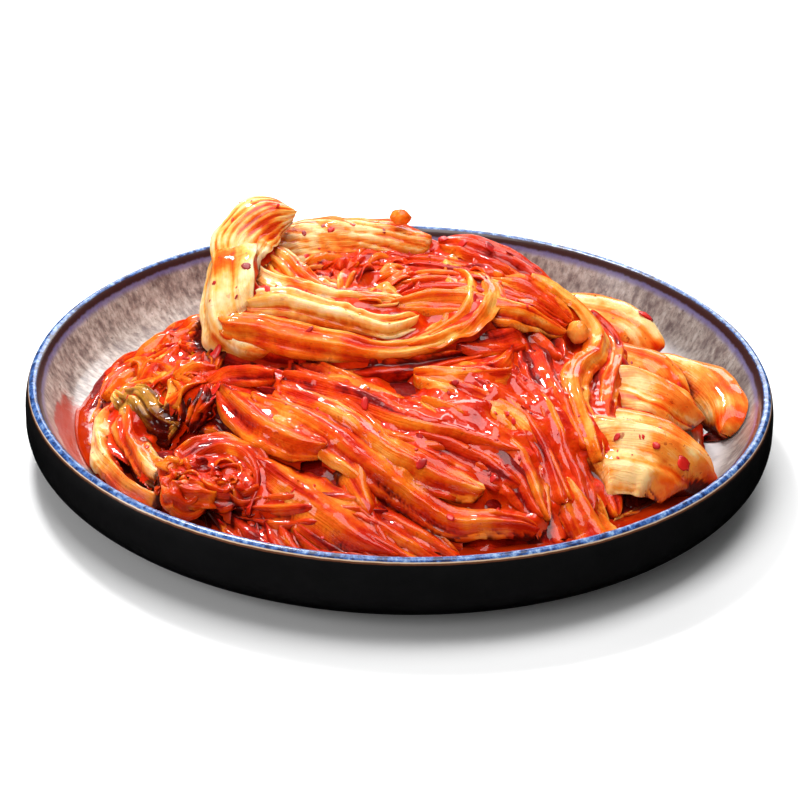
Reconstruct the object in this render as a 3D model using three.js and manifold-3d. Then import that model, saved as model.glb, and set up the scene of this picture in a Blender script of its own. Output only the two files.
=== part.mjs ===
// Kimchi in a shallow stoneware dish: a low heap of long fermented cabbage leaves in red brine, with a
// roll of folded leaves on top and thick pale stem pieces at the right. Millimetres, +Z up, origin under
// the middle of the dish, on the plane of its foot ring. -Y is the front, +X the right.
import * as THREE from 'three';
import { mergeVertices } from 'three/addons/utils/BufferGeometryUtils.js';
import Module from 'manifold-3d';

const wasm = await Module();
wasm.setup();

// Dish, from which the heap's sizes follow
const rimRadius = 110;
const rimHeight = 26;
const rimWidth = 2.5;
const lipRound = 0.8;
const bulge = 1.2;
const bulgeHeight = 20;
const footRadius = 72;
const footWidth = 8;
const footRecess = 3.2;
const wellRadius = 90;
const wellDepth = 10;
const centreDepth = 8;
const filletRadius = 100.5;
const filletHeight = 14.5;
const dishSegments = 56;

// Heap, brine and roll
const gap = 0.35;
const brineLevel = 12.6;
const heapTop = 41;
const heapFloor = 10;
const coreDrop = 2.8;
const coreInset = 4;
const heapSpokes = 36;
const heapLeftReach = 94;
const backInset = 10;
const frontInset = 3;
const rightInset = 4;
const brineRadius = 96.6;
const dryInset = 5;
const dryFrom = -25;
const dryTo = 100;
const rollCentre = new THREE.Vector2(-8, 11);
const rollHalfLength = 42;
const rollHalfDepth = 19;
const heartTop = 50;
const craterDepth = 5;
const crumpleHeight = 0.9;
const shoulderFrom = 0.6;
const shoulderDrop = 9;

// Leaves
const stationLength = 10.5;
const fusedStation = 15;
const foldSway = 2.5;
const edgeThinning = 0.55;
const rootDepth = 1.5;

const up = new THREE.Vector3(0, 0, 1);
const colours = {
  stoneware: 0x2a2829,
  brine: 0xb3240a,
  heap: 0xd2470f,
  sauced: 0xdc4a12,
  orange: 0xec7a2a,
  pale: 0xf6c88a,
  cream: 0xf9dca8,
  olive: 0x8a6a1c,
};

// A value along a piece, from a single number or a list spread evenly from its start to its end
function along(values, u) {
  if (!Array.isArray(values)) return values;
  const place = u * (values.length - 1);
  const low = Math.min(Math.floor(place), values.length - 2);
  const t = place - low;
  const eased = t * t * (3 - 2 * t);
  return values[low] * (1 - eased) + values[low + 1] * eased;
}

// Joins two grids of points, an upper and a lower face split into triangles alike, into one closed body.
// With around set, each row closes on itself, and a row of coinciding points is a round body's middle.
function slab(upper, lower, around = false) {
  const positions = [];
  const triangle = (a, b, c) => positions.push(a.x, a.y, a.z, b.x, b.y, b.z, c.x, c.y, c.z);
  const quad = (a, b, c, d) => {
    triangle(a, b, c);
    triangle(a, c, d);
  };
  const rows = upper.length;
  const columns = upper[0].length;
  const steps = around ? columns : columns - 1;
  for (let i = 0; i < rows - 1; i++) {
    for (let j = 0; j < steps; j++) {
      const k = (j + 1) % columns;
      quad(upper[i][j], upper[i + 1][j], upper[i + 1][k], upper[i][k]);
      triangle(lower[i][j], lower[i + 1][k], lower[i + 1][j]);
      triangle(lower[i][j], lower[i][k], lower[i + 1][k]);
    }
    if (!around) {
      quad(lower[i][0], lower[i + 1][0], upper[i + 1][0], upper[i][0]);
      const last = columns - 1;
      quad(lower[i + 1][last], lower[i][last], upper[i][last], upper[i + 1][last]);
    }
  }
  for (let j = 0; j < steps; j++) {
    const k = (j + 1) % columns;
    const end = rows - 1;
    quad(lower[0][k], lower[0][j], upper[0][j], upper[0][k]);
    quad(lower[end][j], lower[end][k], upper[end][k], upper[end][j]);
  }
  const geometry = new THREE.BufferGeometry();
  geometry.setAttribute('position', new THREE.Float32BufferAttribute(positions, 3));
  return geometry;
}

// Turns a closed geometry into a solid that can be cut and joined
function toSolid(geometry) {
  const plain = geometry.clone();
  plain.deleteAttribute('normal');
  plain.deleteAttribute('uv');
  const merged = mergeVertices(plain, 1e-4);
  const corners = [];
  const index = merged.index.array;
  for (let i = 0; i < index.length; i += 3) {
    const [a, b, c] = index.slice(i, i + 3);
    if (a !== b && b !== c && c !== a) corners.push(a, b, c);
  }
  return new wasm.Manifold(new wasm.Mesh({
    numProp: 3,
    vertProperties: new Float32Array(merged.attributes.position.array),
    triVerts: new Uint32Array(corners),
  }));
}

// The largest connected part of a solid, as a geometry: what a cut leaves loose is dropped
function toGeometry(solid) {
  const { vertProperties, triVerts } = solid.getMesh();
  const parent = Array.from({ length: vertProperties.length / 3 }, (_, i) => i);
  const root = (i) => {
    let at = i;
    while (parent[at] !== at) at = parent[at] = parent[parent[at]];
    return at;
  };
  for (let i = 0; i < triVerts.length; i += 3) {
    parent[root(triVerts[i])] = root(triVerts[i + 1]);
    parent[root(triVerts[i + 1])] = root(triVerts[i + 2]);
  }
  const parts = new Map();
  const point = (i) => new THREE.Vector3().fromArray(vertProperties, i * 3);
  for (let i = 0; i < triVerts.length; i += 3) {
    const key = root(triVerts[i]);
    const part = parts.get(key) ?? { volume: 0, corners: [] };
    const [a, b, c] = [point(triVerts[i]), point(triVerts[i + 1]), point(triVerts[i + 2])];
    part.volume += a.dot(b.cross(c)) / 6;
    part.corners.push(triVerts[i], triVerts[i + 1], triVerts[i + 2]);
    parts.set(key, part);
  }
  const largest = [...parts.values()].sort((a, b) => b.volume - a.volume)[0];
  const geometry = new THREE.BufferGeometry();
  geometry.setAttribute('position', new THREE.Float32BufferAttribute(vertProperties, 3));
  geometry.setIndex(largest.corners);
  const loose = geometry.toNonIndexed();
  return mergeVertices(loose, 1e-5);
}

// How far the heap reaches from the dish's middle, by direction: furthest at the front, least at the back
function heapReach(angle) {
  const back = Math.max(Math.sin(angle), 0);
  const front = Math.max(-Math.sin(angle), 0);
  const right = Math.max(Math.cos(angle), 0);
  return heapLeftReach - backInset * back * back - frontInset * front - rightInset * right;
}

// Height of the heap's surface over the dish
function heapHeight(x, y) {
  const share = Math.min(Math.hypot(x, y) / heapReach(Math.atan2(y, x)), 1);
  return heapFloor + (heapTop - heapFloor) * (1 - share ** 2.2) ** 0.9;
}

function heapNormal(x, y) {
  const step = 2;
  const slopeX = (heapHeight(x + step, y) - heapHeight(x - step, y)) / (2 * step);
  const slopeY = (heapHeight(x, y + step) - heapHeight(x, y - step)) / (2 * step);
  return new THREE.Vector3(-slopeX, -slopeY, 1).normalize();
}

// A leaf or stem piece laid along a route. A route point is [x, y, z], or [x, y] for a piece that lies on
// the heap at its lift. The face leans by tilt degrees towards the right of the route; crown is how far
// its edges fall, and pleats and pleatDepth give the folds that run along it. grow makes the same piece
// larger on every side.
function leafSolid(piece, grow = 0) {
  const { route, width, thickness = 2.2, lift = 2, tilt = 0, crown = 1.5, pleats = 2,
    pleatDepth = 0.6 } = piece;
  const points = route.map(([x, y, z]) => new THREE.Vector3(x, y, z ?? heapHeight(x, y) + lift));
  const curve = new THREE.CatmullRomCurve3(points, false, 'centripetal');
  const stations = Math.max(3,
    Math.round(curve.getLength() / (piece.fused ? fusedStation : stationLength)));
  const across = piece.across ?? 4;
  const upper = [];
  const lower = [];
  for (let i = 0; i <= stations; i++) {
    const u = i / stations;
    const tangent = curve.getTangentAt(u);
    const centre = curve.getPointAt(u);
    if (i === 0) centre.addScaledVector(tangent, -grow);
    if (i === stations) centre.addScaledVector(tangent, grow);
    const outward = piece.upright ? up : heapNormal(centre.x, centre.y);
    const right = new THREE.Vector3().crossVectors(tangent, outward).normalize();
    const lean = THREE.MathUtils.degToRad(along(tilt, u));
    const face = new THREE.Vector3().crossVectors(right, tangent)
      .multiplyScalar(Math.cos(lean)).addScaledVector(right, Math.sin(lean));
    const side = new THREE.Vector3().crossVectors(tangent, face).normalize();
    const half = along(width, u) / 2;
    const upperRow = [];
    const lowerRow = [];
    for (let j = 0; j <= across; j++) {
      const v = 1 - (2 * j) / across;
      const sway = foldSway * Math.sin(3 * u + pleats);
      const fold = pleatDepth * Math.cos(Math.PI * pleats * v + sway) * (1 - v ** 4);
      const middle = centre.clone()
        .addScaledVector(side, v * (half + grow))
        .addScaledVector(face, fold - crown * v * v);
      const depth = thickness * (1 - edgeThinning * v ** 4);
      const rooted = piece.fused ? lift + rootDepth : 0;
      upperRow.push(middle.clone().addScaledVector(face, depth / 2 + grow));
      lowerRow.push(middle.clone().addScaledVector(face, -depth / 2 - rooted - grow));
    }
    upper.push(upperRow);
    lower.push(lowerRow);
  }
  return toSolid(slab(upper, lower));
}

// A small uneven lump, such as a garlic bit
function lumpSolid({ at, radius, stretch }, grow = 0) {
  const geometry = new THREE.SphereGeometry(1, 8, 6);
  const position = geometry.attributes.position;
  for (let i = 0; i < position.count; i++) {
    const p = new THREE.Vector3().fromBufferAttribute(position, i);
    const uneven = 1 + 0.12 * Math.sin(5 * p.x + 1) * Math.cos(4 * p.y + 3 * p.z);
    p.multiplyScalar(radius * uneven + grow).multiply(stretch).add(at);
    position.setXYZ(i, p.x, p.y, p.z);
  }
  return toSolid(geometry);
}

// A lathe body round the dish's axis
function turned(profile) {
  const geometry = new THREE.LatheGeometry(profile.map(([r, z]) => new THREE.Vector2(r, z)), dishSegments);
  geometry.rotateX(Math.PI / 2);
  return toSolid(geometry);
}

// The dish's inner wall from the middle to the rim
const innerProfile = [
  [0, centreDepth], [wellRadius, wellDepth],
  [wellRadius + 6.5, wellDepth + 1.6], [filletRadius, filletHeight],
  [rimRadius - rimWidth, rimHeight - lipRound],
];
const outerProfile = [
  [rimRadius - rimWidth / 2, rimHeight], [rimRadius, rimHeight - lipRound],
  [rimRadius + bulge, bulgeHeight], [rimRadius + bulge * 0.5, bulgeHeight * 0.6],
  [rimRadius - 3, 7.4], [rimRadius - 8, 4.2], [rimRadius - 18, 2.2], [footRadius + 2, 1.4],
  [footRadius, 0], [footRadius - footWidth, 0],
  [footRadius - footWidth - 1.5, footRecess], [0, footRecess],
];
const dish = turned([...innerProfile, ...outerProfile].reverse());

// The room inside the dish, a gap clear of its wall
const roomProfile = innerProfile.map(([r, z]) => [r === 0 ? 0 : r - gap, z + gap]);
const dishRoom = turned([...roomProfile, [rimRadius - rimWidth - gap, 100], [0, 100]]);

// A domed body on a polar grid about a centre, between two height functions, out to its reach
function domeSolid({ centre, reach, rings, spokes, top, bottom }) {
  const upper = [];
  const lower = [];
  for (let i = 0; i <= rings; i++) {
    const share = (i / rings) ** 0.85;
    const upperRow = [];
    const lowerRow = [];
    for (let j = 0; j < spokes; j++) {
      const angle = (2 * Math.PI * j) / spokes;
      const [reachX, reachY] = reach(angle);
      const x = centre.x + share * reachX * Math.cos(angle);
      const y = centre.y + share * reachY * Math.sin(angle);
      upperRow.push(new THREE.Vector3(x, y, top(x, y, share, angle)));
      lowerRow.push(new THREE.Vector3(x, y, bottom(x, y, share)));
    }
    upper.push(upperRow);
    lower.push(lowerRow);
  }
  return toSolid(slab(upper, lower, true));
}

// Height of the dish's inner wall at a radius
function wellHeight(radius) {
  const next = innerProfile.findIndex(([r]) => r >= radius);
  const [[r0, z0], [r1, z1]] = innerProfile.slice(Math.max(next - 1, 0), Math.max(next - 1, 0) + 2);
  return z0 + ((z1 - z0) * (radius - r0)) / (r1 - r0);
}

// Bare core of the heap, a little under the leaves and level with the brine at its edge
const coreHeight = (x, y) => Math.max(heapHeight(x, y) - coreDrop, brineLevel);
const dishFloor = (x, y) => wellHeight(Math.hypot(x, y)) + gap;
const coreReach = (angle) => heapReach(angle) - coreInset;
const heapCore = domeSolid({
  centre: new THREE.Vector2(0, 0),
  reach: (angle) => [coreReach(angle), coreReach(angle)],
  rings: 4,
  spokes: heapSpokes,
  top: (x, y) => coreHeight(x, y),
  bottom: (x, y) => dishFloor(x, y),
});

// Heart of the roll: the crumpled inner leaves, sunk in the middle
const rollHeart = domeSolid({
  centre: rollCentre,
  reach: () => [rollHalfLength, rollHalfDepth],
  rings: 4,
  spokes: 18,
  top: (x, y, share, angle) => {
    const crater = craterDepth * Math.exp(-((share / 0.45) ** 2));
    const crumple = crumpleHeight * Math.sin(6 * angle + 7 * share) * share;
    const shoulder = Math.max(share - shoulderFrom, 0) / (1 - shoulderFrom);
    return heartTop - crater + crumple - shoulderDrop * shoulder;
  },
  bottom: (x, y) => coreHeight(x, y) + gap,
});

// Pieces in layers, the uppermost first: each later piece gives way to those before it
const leaves = [
  { name: 'roll_tip_flap', colour: 'pale', upright: true, width: [8, 13, 15, 15, 12],
    tilt: [-20, -10, 10, 35, 55],
    crown: 3, route: [[-46, 2, 54], [-49, 10, 60], [-47, 17, 65], [-42, 23, 68], [-35, 27, 68.5]] },
  { name: 'roll_wrap_leaf', colour: 'cream', upright: true, width: [12, 18, 21, 20, 17, 10], crown: 5,
    thickness: 3,
    tilt: [30, 40, 45, 45, 50, 60],
    route: [[-45, 31, 56], [-52, 21, 58], [-55, 9, 57], [-55.5, -1, 52], [-53, -9, 46], [-46, -15, 40]] },
  { name: 'roll_back_band', colour: 'orange', upright: true, width: [12, 17, 18, 17, 12],
    tilt: [20, 25, 30, 30, 20],
    crown: 4, pleats: 3,
    route: [[-41, 21, 56], [-30, 26, 57.5], [-18, 29, 58], [-4, 30, 58], [8, 29, 57]] },
  { name: 'roll_inner_band', colour: 'orange', upright: true, width: [9, 12, 12, 11, 8], tilt: 25,
    pleats: 3,
    route: [[-43, 18, 57], [-37, 13, 56], [-32, 6, 54], [-25, 1, 52], [-15, -3, 50]] },
  { name: 'roll_front_band', colour: 'pale', upright: true, width: [9, 10, 9, 9, 8, 6],
    tilt: [50, 50, 45, 45, 40, 30],
    route: [[-46, -6, 51], [-35, -7, 52.5], [-23, -11, 51.5], [-12, -15, 50.5], [-3, -15, 50],
      [5, -10, 50]] },
  { name: 'roll_ribbon', colour: 'orange', upright: true, width: [8, 10, 9, 8, 8, 8, 8, 6],
    tilt: [70, 65, 65, 65, 60, 55],
    route: [[-51, -13, 46], [-41, -15, 46], [-29, -19, 45.5], [-17, -22, 45], [-6, -23, 44.5], [5, -21, 45],
      [14, -16, 46], [20, -9, 48]] },
  { name: 'roll_pleats', colour: 'orange', upright: true, width: [10, 14, 15, 12], pleats: 4,
    pleatDepth: 0.9, across: 6,
    route: [[11, 15, 51], [13, 8, 53], [13, 1, 51.5], [12, -6, 48.5]] },
  { name: 'roll_right_band', colour: 'sauced', upright: true, width: [12, 15, 16, 14, 12, 8],
    tilt: [0, 0, -5, -10, -15],
    crown: 3, pleats: 3,
    route: [[10, 29, 56], [18, 28, 56.5], [28, 24, 55], [38, 20, 51], [46, 17, 46], [53, 15, 42]] },
  { name: 'roll_red_leaf', colour: 'sauced', upright: true, width: [9, 13, 13, 9], tilt: 20,
    route: [[25, 11, 51], [34, 10, 50], [43, 8, 46], [50, 6, 41]] },
  { name: 'roll_under_leaf', colour: 'sauced', upright: true, width: [7, 10, 10, 9, 8], tilt: 78,
    crown: -1.5,
    route: [[-49, -12, 38.5], [-38, -13, 39], [-26, -16, 38.5], [-12, -18, 38.5], [2, -17, 39.5]] },
  { name: 'tongue_leaf', colour: 'sauced', upright: true, width: [5, 10, 12, 10, 9, 8, 6],
    tilt: [40, 50, 55, 55, 50, 45],
    pleats: 3, pleatDepth: 0.9,
    route: [[-25, -21, 36.5], [-15, -26, 37], [-6, -27, 38.5], [3, -25, 39.5], [11, -22, 40],
      [19, -19, 40.5],
      [27, -13, 41]] },
  { name: 'draped_strand', colour: 'pale', width: [5, 7, 8, 9, 9, 9, 9, 8, 7, 4], crown: 2,
    route: [[38, 17, 51], [47, 15, 47.5], [54, 13, 43], [58, 8, 38.5], [57, 0, 37], [54, -12, 37.5],
      [52, -24, 36.5],
      [53, -34, 33.5], [56, -43, 30], [58, -50, 26]] },
  { name: 'hanging_leaf', colour: 'sauced', width: [10, 17, 17, 10], crown: 2, pleats: 3, pleatDepth: 0.9,
    lift: 3,
    route: [[29, 3, 43], [36, 0, 42], [43, -5, 39.5], [47, -12, 37]] },
  { name: 'pale_curved_leaf', colour: 'orange', width: [8, 12, 12, 8], crown: 2, pleats: 2,
    route: [[11, -27, 40], [20, -27, 40], [28, -20, 40], [32, -9, 41]] },
  { name: 'outer_strand', colour: 'orange', width: [4, 5, 6, 6, 5, 5, 4], crown: 1.5, across: 3,
    route: [[57, 21, 38], [62, 18, 35], [65, 11, 32.5], [64, -1, 33], [62, -14, 33], [61, -29, 31],
      [60.5, -41, 28]] },
  { name: 'stem_end', colour: 'cream', upright: true, width: [10, 15, 16, 13], tilt: [0, 10, 25, 40],
    crown: 3.5, thickness: 3.5,
    pleats: 1, route: [[79, 15, 24], [88, 8, 22.5], [95, -1, 19], [97, -11, 15]] },
  { name: 'stem_upper', colour: 'cream', upright: true, width: [14, 18, 18, 13], crown: 4, thickness: 5,
    pleats: 1,
    route: [[62, -9, 31], [71, -9, 30.5], [81, -11, 27], [88, -14, 21]] },
  { name: 'stem_front', colour: 'cream', upright: true, width: [26, 33, 34, 30, 24], crown: 8,
    thickness: 7, pleats: 2,
    across: 6, route: [[60, -36, 29], [68, -38, 29.5], [77, -40, 27], [85, -41, 21.5], [89, -42, 16.5]] },
  { name: 'stem_middle', colour: 'pale', upright: true, width: [13, 16, 16, 12], crown: 3, thickness: 5,
    pleats: 1,
    route: [[59, 14, 30], [67, 12, 29.5], [76, 8, 27], [84, 2, 22]] },
  { name: 'stem_back', colour: 'cream', upright: true, width: [16, 19, 18, 13], crown: 3, thickness: 5,
    pleats: 1,
    route: [[52, 40, 31], [61, 37, 32], [70, 32, 29.5], [78, 27, 24]] },
  { name: 'left_back_leaf', colour: 'orange', width: [15, 18, 19, 17, 13, 8], crown: 3, pleats: 3, lift: 3,
    route: [[-57, 20], [-64, 19], [-73, 16], [-81, 12], [-88, 5], [-92, -3]] },
  { name: 'left_sauced_leaf', colour: 'sauced', width: [12, 16, 15, 10], crown: 2.5, pleats: 1, lift: 3.4,
    route: [[-52, 0], [-58, -4], [-64, -9], [-69, -16]] },
  { name: 'left_band', colour: 'orange', width: [7, 9, 9, 7], lift: 2.6, across: 3,
    route: [[-75, 1], [-69, -7], [-62, -17], [-54, -27]] },
  { name: 'fold_leaf', colour: 'orange', width: [7, 11, 10, 6], lift: 4, crown: 3,
    route: [[-55, -25], [-49, -23], [-42, -24], [-36, -27]] },
  { name: 'green_leaf', colour: 'olive', width: [9, 15, 15, 9], lift: 2, crown: 2, pleats: 3,
    route: [[-83, -10], [-77, -19], [-70, -28], [-63, -37]] },
  { name: 'left_inner_stem', colour: 'orange', width: [6, 8, 9, 9, 9, 7], crown: 2.5, across: 3,
    thickness: 3,
    route: [[-81, -17, 22], [-81, -30, 20.5], [-77, -42, 20.5], [-70, -53, 20], [-62, -63, 19],
      [-54, -71, 17.5]] },
  { name: 'left_outer_stem', colour: 'pale', width: [5, 7, 8, 8, 7, 5], crown: 2.5, across: 3, thickness: 3,
    route: [[-87, -11, 18], [-90, -22, 17], [-90, -34, 16.5], [-85, -46, 16.5], [-77, -57, 16.5],
      [-68, -66, 16]] },
  { name: 'curled_leaf', colour: 'sauced', width: [6, 9, 10, 10, 9, 6], upright: true,
    tilt: [60, 50, 20, 0, -20],
    route: [[-58, -64, 21], [-58, -56, 25], [-51, -52, 28], [-43, -56, 27.5], [-39, -65, 23],
      [-41, -74, 18]] },
  { name: 'long_leaf_left', colour: 'orange', across: 3, width: [7, 10, 11, 10, 7], lift: 4.4, crown: 2.5,
    route: [[-51, -29], [-46, -38], [-40, -47], [-32, -54], [-21, -59]] },
  { name: 'long_leaf_front', colour: 'orange', across: 3, width: [7, 9, 10, 10, 9, 8, 7, 5], lift: 4,
    crown: 2,
    route: [[-42, -35], [-31, -45], [-21, -54], [-12, -62], [0, -70], [14, -76], [28, -78], [40, -77]] },
  { name: 'long_leaf_middle', colour: 'orange', across: 3, width: [7, 9, 10, 10, 9, 6], lift: 3.4, crown: 2,
    route: [[-36, -33], [-26, -41], [-15, -50], [-3, -59], [10, -66], [25, -70]] },
  { name: 'long_leaf_upper', colour: 'sauced', across: 3, width: [8, 12, 13, 13, 12, 8], lift: 2.8,
    crown: 2, pleats: 3,
    route: [[-34, -27], [-22, -36], [-8, -43], [8, -49], [22, -52], [33, -55]] },
  { name: 'front_stem', colour: 'pale', width: [10, 15, 15, 10], crown: 4, thickness: 3.5,
    route: [[-27, -70, 24], [-20, -76, 22.5], [-12, -82, 19], [-5, -87, 15.5]] },
  { name: 'right_rib_outer', colour: 'sauced', width: [7, 8, 9, 8, 6], lift: 2.8, across: 3,
    route: [[34, -24], [41, -34], [47, -45], [52, -55], [55, -65]] },
  { name: 'right_rib_inner', colour: 'sauced', width: [7, 8, 9, 8, 6], lift: 2.8, across: 3,
    route: [[21, -31], [30, -38], [38, -47], [44, -56], [48, -66]] },
  // Shorter pieces that lie deep in the heap
  { fused: 'heap', across: 2, width: [8, 12, 8], route: [[-78, 10], [-81, 1], [-79, -8]] },
  { fused: 'heap', across: 2, width: [8, 13, 9], route: [[-75, -36], [-68, -47], [-60, -57]] },
  { fused: 'heap', across: 2, width: [8, 9, 7], lift: 1, route: [[-44, -62], [-38, -69], [-35, -76]] },
  { fused: 'heap', across: 2, width: [6, 9, 6], route: [[-28, -41], [-12, -53], [6, -61]], lift: 1 },
  { fused: 'heap', across: 2, width: [7, 8, 7], route: [[-46, -51], [-34, -62], [-14, -73]], lift: 1 },
  { fused: 'heap', across: 2, width: [6, 9, 6], route: [[12, -59], [21, -62], [31, -66]], lift: 1 },
  { fused: 'heap', across: 2, width: [7, 10, 6], route: [[0, -79], [14, -82], [32, -81]], lift: 1.5 },
  { fused: 'heap', across: 2, width: [9, 14, 9], route: [[35, -14], [42, -24], [47, -36]], lift: 1 },
  { fused: 'heap', across: 2, width: [8, 12, 8], route: [[4, -33], [18, -38], [32, -40]], lift: 1 },
  { fused: 'heap', across: 2, width: [6, 8, 6], route: [[56, -54], [60, -63], [61, -71]] },
  { fused: 'heap', across: 2, width: [6, 8, 5], route: [[46, -60], [49, -69], [49, -78]] },
  { fused: 'roll', across: 2, width: [6, 8, 7], upright: true,
    route: [[-6, 23, 49], [12, 20, 50], [26, 14, 48]] },
  { fused: 'roll', across: 2, width: [6, 8, 7], upright: true, tilt: 20,
    route: [[-28, 13, 47], [-14, 9, 48], [-2, 5, 48]] },
];

// The heap's hidden side: leaves that run down from the roll's back to the dish, every few degrees
const backLeafCount = 8;
for (let i = 0; i < backLeafCount; i++) {
  const angle = THREE.MathUtils.degToRad(28 + (124 * i) / (backLeafCount - 1));
  const swing = 0.22 * Math.sin(2.3 * i + 1);
  const stops = [0.5, 0.68, 0.84, 0.97].map((share, step) => {
    const turn = angle + swing * (step / 3);
    const reach = heapReach(turn) * share;
    return [reach * Math.cos(turn), reach * Math.sin(turn)];
  });
  leaves.push({ fused: 'heap', across: 2, width: [14, 22, 23, 15], lift: 1 + 0.8 * (i % 2), crown: 2.5,
    route: stops });
}
leaves.push({ name: 'roll_back_leaf', colour: 'orange', upright: true, width: [12, 20, 22, 20, 12],
  tilt: [-62, -66, -68, -66, -60],
  crown: 2, thickness: 3,
  route: [[-49, 27, 48], [-32, 37, 46.5], [-8, 40, 46.5], [18, 36, 46.5], [38, 28, 44]] });

const lumps = [
  { name: 'garlic_bit', colour: 'pale', at: new THREE.Vector3(-1, 31, 63), radius: 2.9,
    stretch: new THREE.Vector3(1.1, 0.9, 0.8) },
  { name: 'pale_bead', colour: 'pale', at: new THREE.Vector3(52.5, 2, 40), radius: 3.4,
    stretch: new THREE.Vector3(1, 1, 1) },
];

// True where two solids' boxes come within a gap of each other
function near(a, b) {
  const [boxA, boxB] = [a.boundingBox(), b.boundingBox()];
  const meet = (axis) => boxA.min[axis] < boxB.max[axis] + gap && boxB.min[axis] < boxA.max[axis] + gap;
  return [0, 1, 2].every(meet);
}

const kimchi = new THREE.Group();
function addMesh(name, solid, colour, roughness = 0.3) {
  const material = new THREE.MeshStandardMaterial({ color: colours[colour], roughness, metalness: 0 });
  const geometry = toGeometry(solid);
  geometry.computeVertexNormals();
  const mesh = new THREE.Mesh(geometry, material);
  mesh.name = name;
  kimchi.add(mesh);
}

addMesh('dish', dish, 'stoneware', 0.4);

const placed = [];
const cutBy = (solid, others) => others
  .reduce((rest, other) => (near(rest, other) ? rest.subtract(other) : rest), solid);
const giveWay = (solid) => cutBy(solid, placed);
for (const lump of lumps) {
  addMesh(lump.name, lumpSolid(lump), lump.colour);
  placed.push(lumpSolid(lump, gap));
}
for (const piece of leaves.filter((leaf) => leaf.name)) {
  addMesh(piece.name, giveWay(leafSolid(piece)).intersect(dishRoom), piece.colour);
  placed.push(leafSolid(piece).add(leafSolid(piece, gap)));
}

const fusedTo = (body, name) => leaves.filter((leaf) => leaf.fused === name)
  .reduce((whole, leaf) => whole.add(leafSolid(leaf)), body);
const heart = fusedTo(rollHeart, 'roll');
addMesh('roll_heart', giveWay(heart), 'heap');
placed.push(rollHeart);
const heap = giveWay(fusedTo(heapCore, 'heap').intersect(dishRoom));
addMesh('kimchi_heap', heap, 'heap');

// Brine: a level pool round the heap that ends short of the wall at the right and right back
function brineReach(angle) {
  const degrees = THREE.MathUtils.radToDeg(angle > Math.PI ? angle - 2 * Math.PI : angle);
  const { smoothstep } = THREE.MathUtils;
  const dry = smoothstep(degrees, dryFrom, dryFrom + 17) * (1 - smoothstep(degrees, dryTo - 30, dryTo));
  return brineRadius - dryInset * dry;
}
function brineSolid() {
  const upper = [[], [], []];
  const lower = [[], [], []];
  for (let j = 0; j < heapSpokes; j++) {
    const angle = (2 * Math.PI * j) / heapSpokes;
    const reach = brineReach(angle);
    [coreReach(angle) + gap, reach - 1.2, reach].forEach((radius, row) => {
      const [x, y] = [radius * Math.cos(angle), radius * Math.sin(angle)];
      const floor = dishFloor(x, y);
      upper[row].push(new THREE.Vector3(x, y, row === 2 ? (brineLevel + floor) / 2 : brineLevel));
      lower[row].push(new THREE.Vector3(x, y, floor));
    });
  }
  return toSolid(slab(upper, lower, true));
}
const dipping = leaves.filter((leaf) => leaf.fused === 'heap').map((leaf) => leafSolid(leaf, gap));
const brine = cutBy(giveWay(brineSolid()), dipping);
addMesh('brine', brine, 'brine', 0.1);

export default kimchi;
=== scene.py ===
# %% [markdown]
# # Kimchi in a stoneware dish
# Kimchi is cabbage fermented in chilli brine. Here it is a heap of long wet leaves with a roll of folded
# leaves on top, in a shallow round dish. Every leaf is a strip of mesh that follows a route over the heap.
# The strips are pleated and warped, and sauce fills the creases between them. Lengths are in millimetres
# until a mesh is made.

# %% Start
import math

import bpy
import numpy as np
from mathutils import Matrix, Vector


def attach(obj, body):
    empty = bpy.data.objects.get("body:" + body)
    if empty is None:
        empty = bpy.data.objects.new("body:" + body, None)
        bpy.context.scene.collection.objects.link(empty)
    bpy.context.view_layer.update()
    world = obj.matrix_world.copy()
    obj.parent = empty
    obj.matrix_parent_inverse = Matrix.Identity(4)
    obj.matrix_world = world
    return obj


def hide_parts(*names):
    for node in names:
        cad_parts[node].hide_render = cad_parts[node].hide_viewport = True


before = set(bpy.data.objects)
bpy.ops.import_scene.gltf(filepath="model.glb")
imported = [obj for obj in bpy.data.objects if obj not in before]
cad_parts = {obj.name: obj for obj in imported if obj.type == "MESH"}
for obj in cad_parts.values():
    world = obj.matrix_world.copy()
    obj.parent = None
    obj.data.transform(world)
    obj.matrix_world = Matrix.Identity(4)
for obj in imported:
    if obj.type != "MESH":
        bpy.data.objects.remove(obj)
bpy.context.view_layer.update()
MM = 0.001
rng = np.random.default_rng(7)
print("frame:", len(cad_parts), "solids")

# %% [markdown]
# ## The heap's shape
# The real heap is a soft mound, with a few hollows where leaves part. It could be sculpted by hand or piled
# up with physics. A formula is used instead, so that every leaf, the sauce and the flakes can ask it for
# the height at any place. The dish is a list of radius and height, from its middle to the lip and back
# under it. A hollow is a place, its length and width, its turn in degrees, and its depth.

# %% Heap and dish sizes
HEAP_TOP = 41
HEAP_FLOOR = 10
BRINE = 12.6
ROLL_X, ROLL_Y = -8, 11
WALL_TOP = 27
HIGHEST = 71.6
INNER = [(0, 8), (90, 10), (96.5, 11.6), (100.5, 14.5), (107.5, 25.2)]
OUTER = [(108.75, 26), (110, 25.2), (111.2, 20), (110.6, 12), (107, 7.4), (102, 4.2), (92, 2.2),
         (74, 1.4), (72, 0), (64, 0), (62.5, 3.2), (0, 3.2)]
HOLLOWS = [(-53, -46, 14, 6, -50, 11), (-72, -29, 8, 5, -40, 7), (-60, -68, 5, 4, 0, 5),
           (8, -75, 14, 5, -10, 4)]


def heap_reach(angle):
    back = np.maximum(np.sin(angle), 0)
    front = np.maximum(-np.sin(angle), 0)
    right = np.maximum(np.cos(angle), 0)
    return 94 - 10 * back**2 - 3 * front - 4 * right


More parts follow.
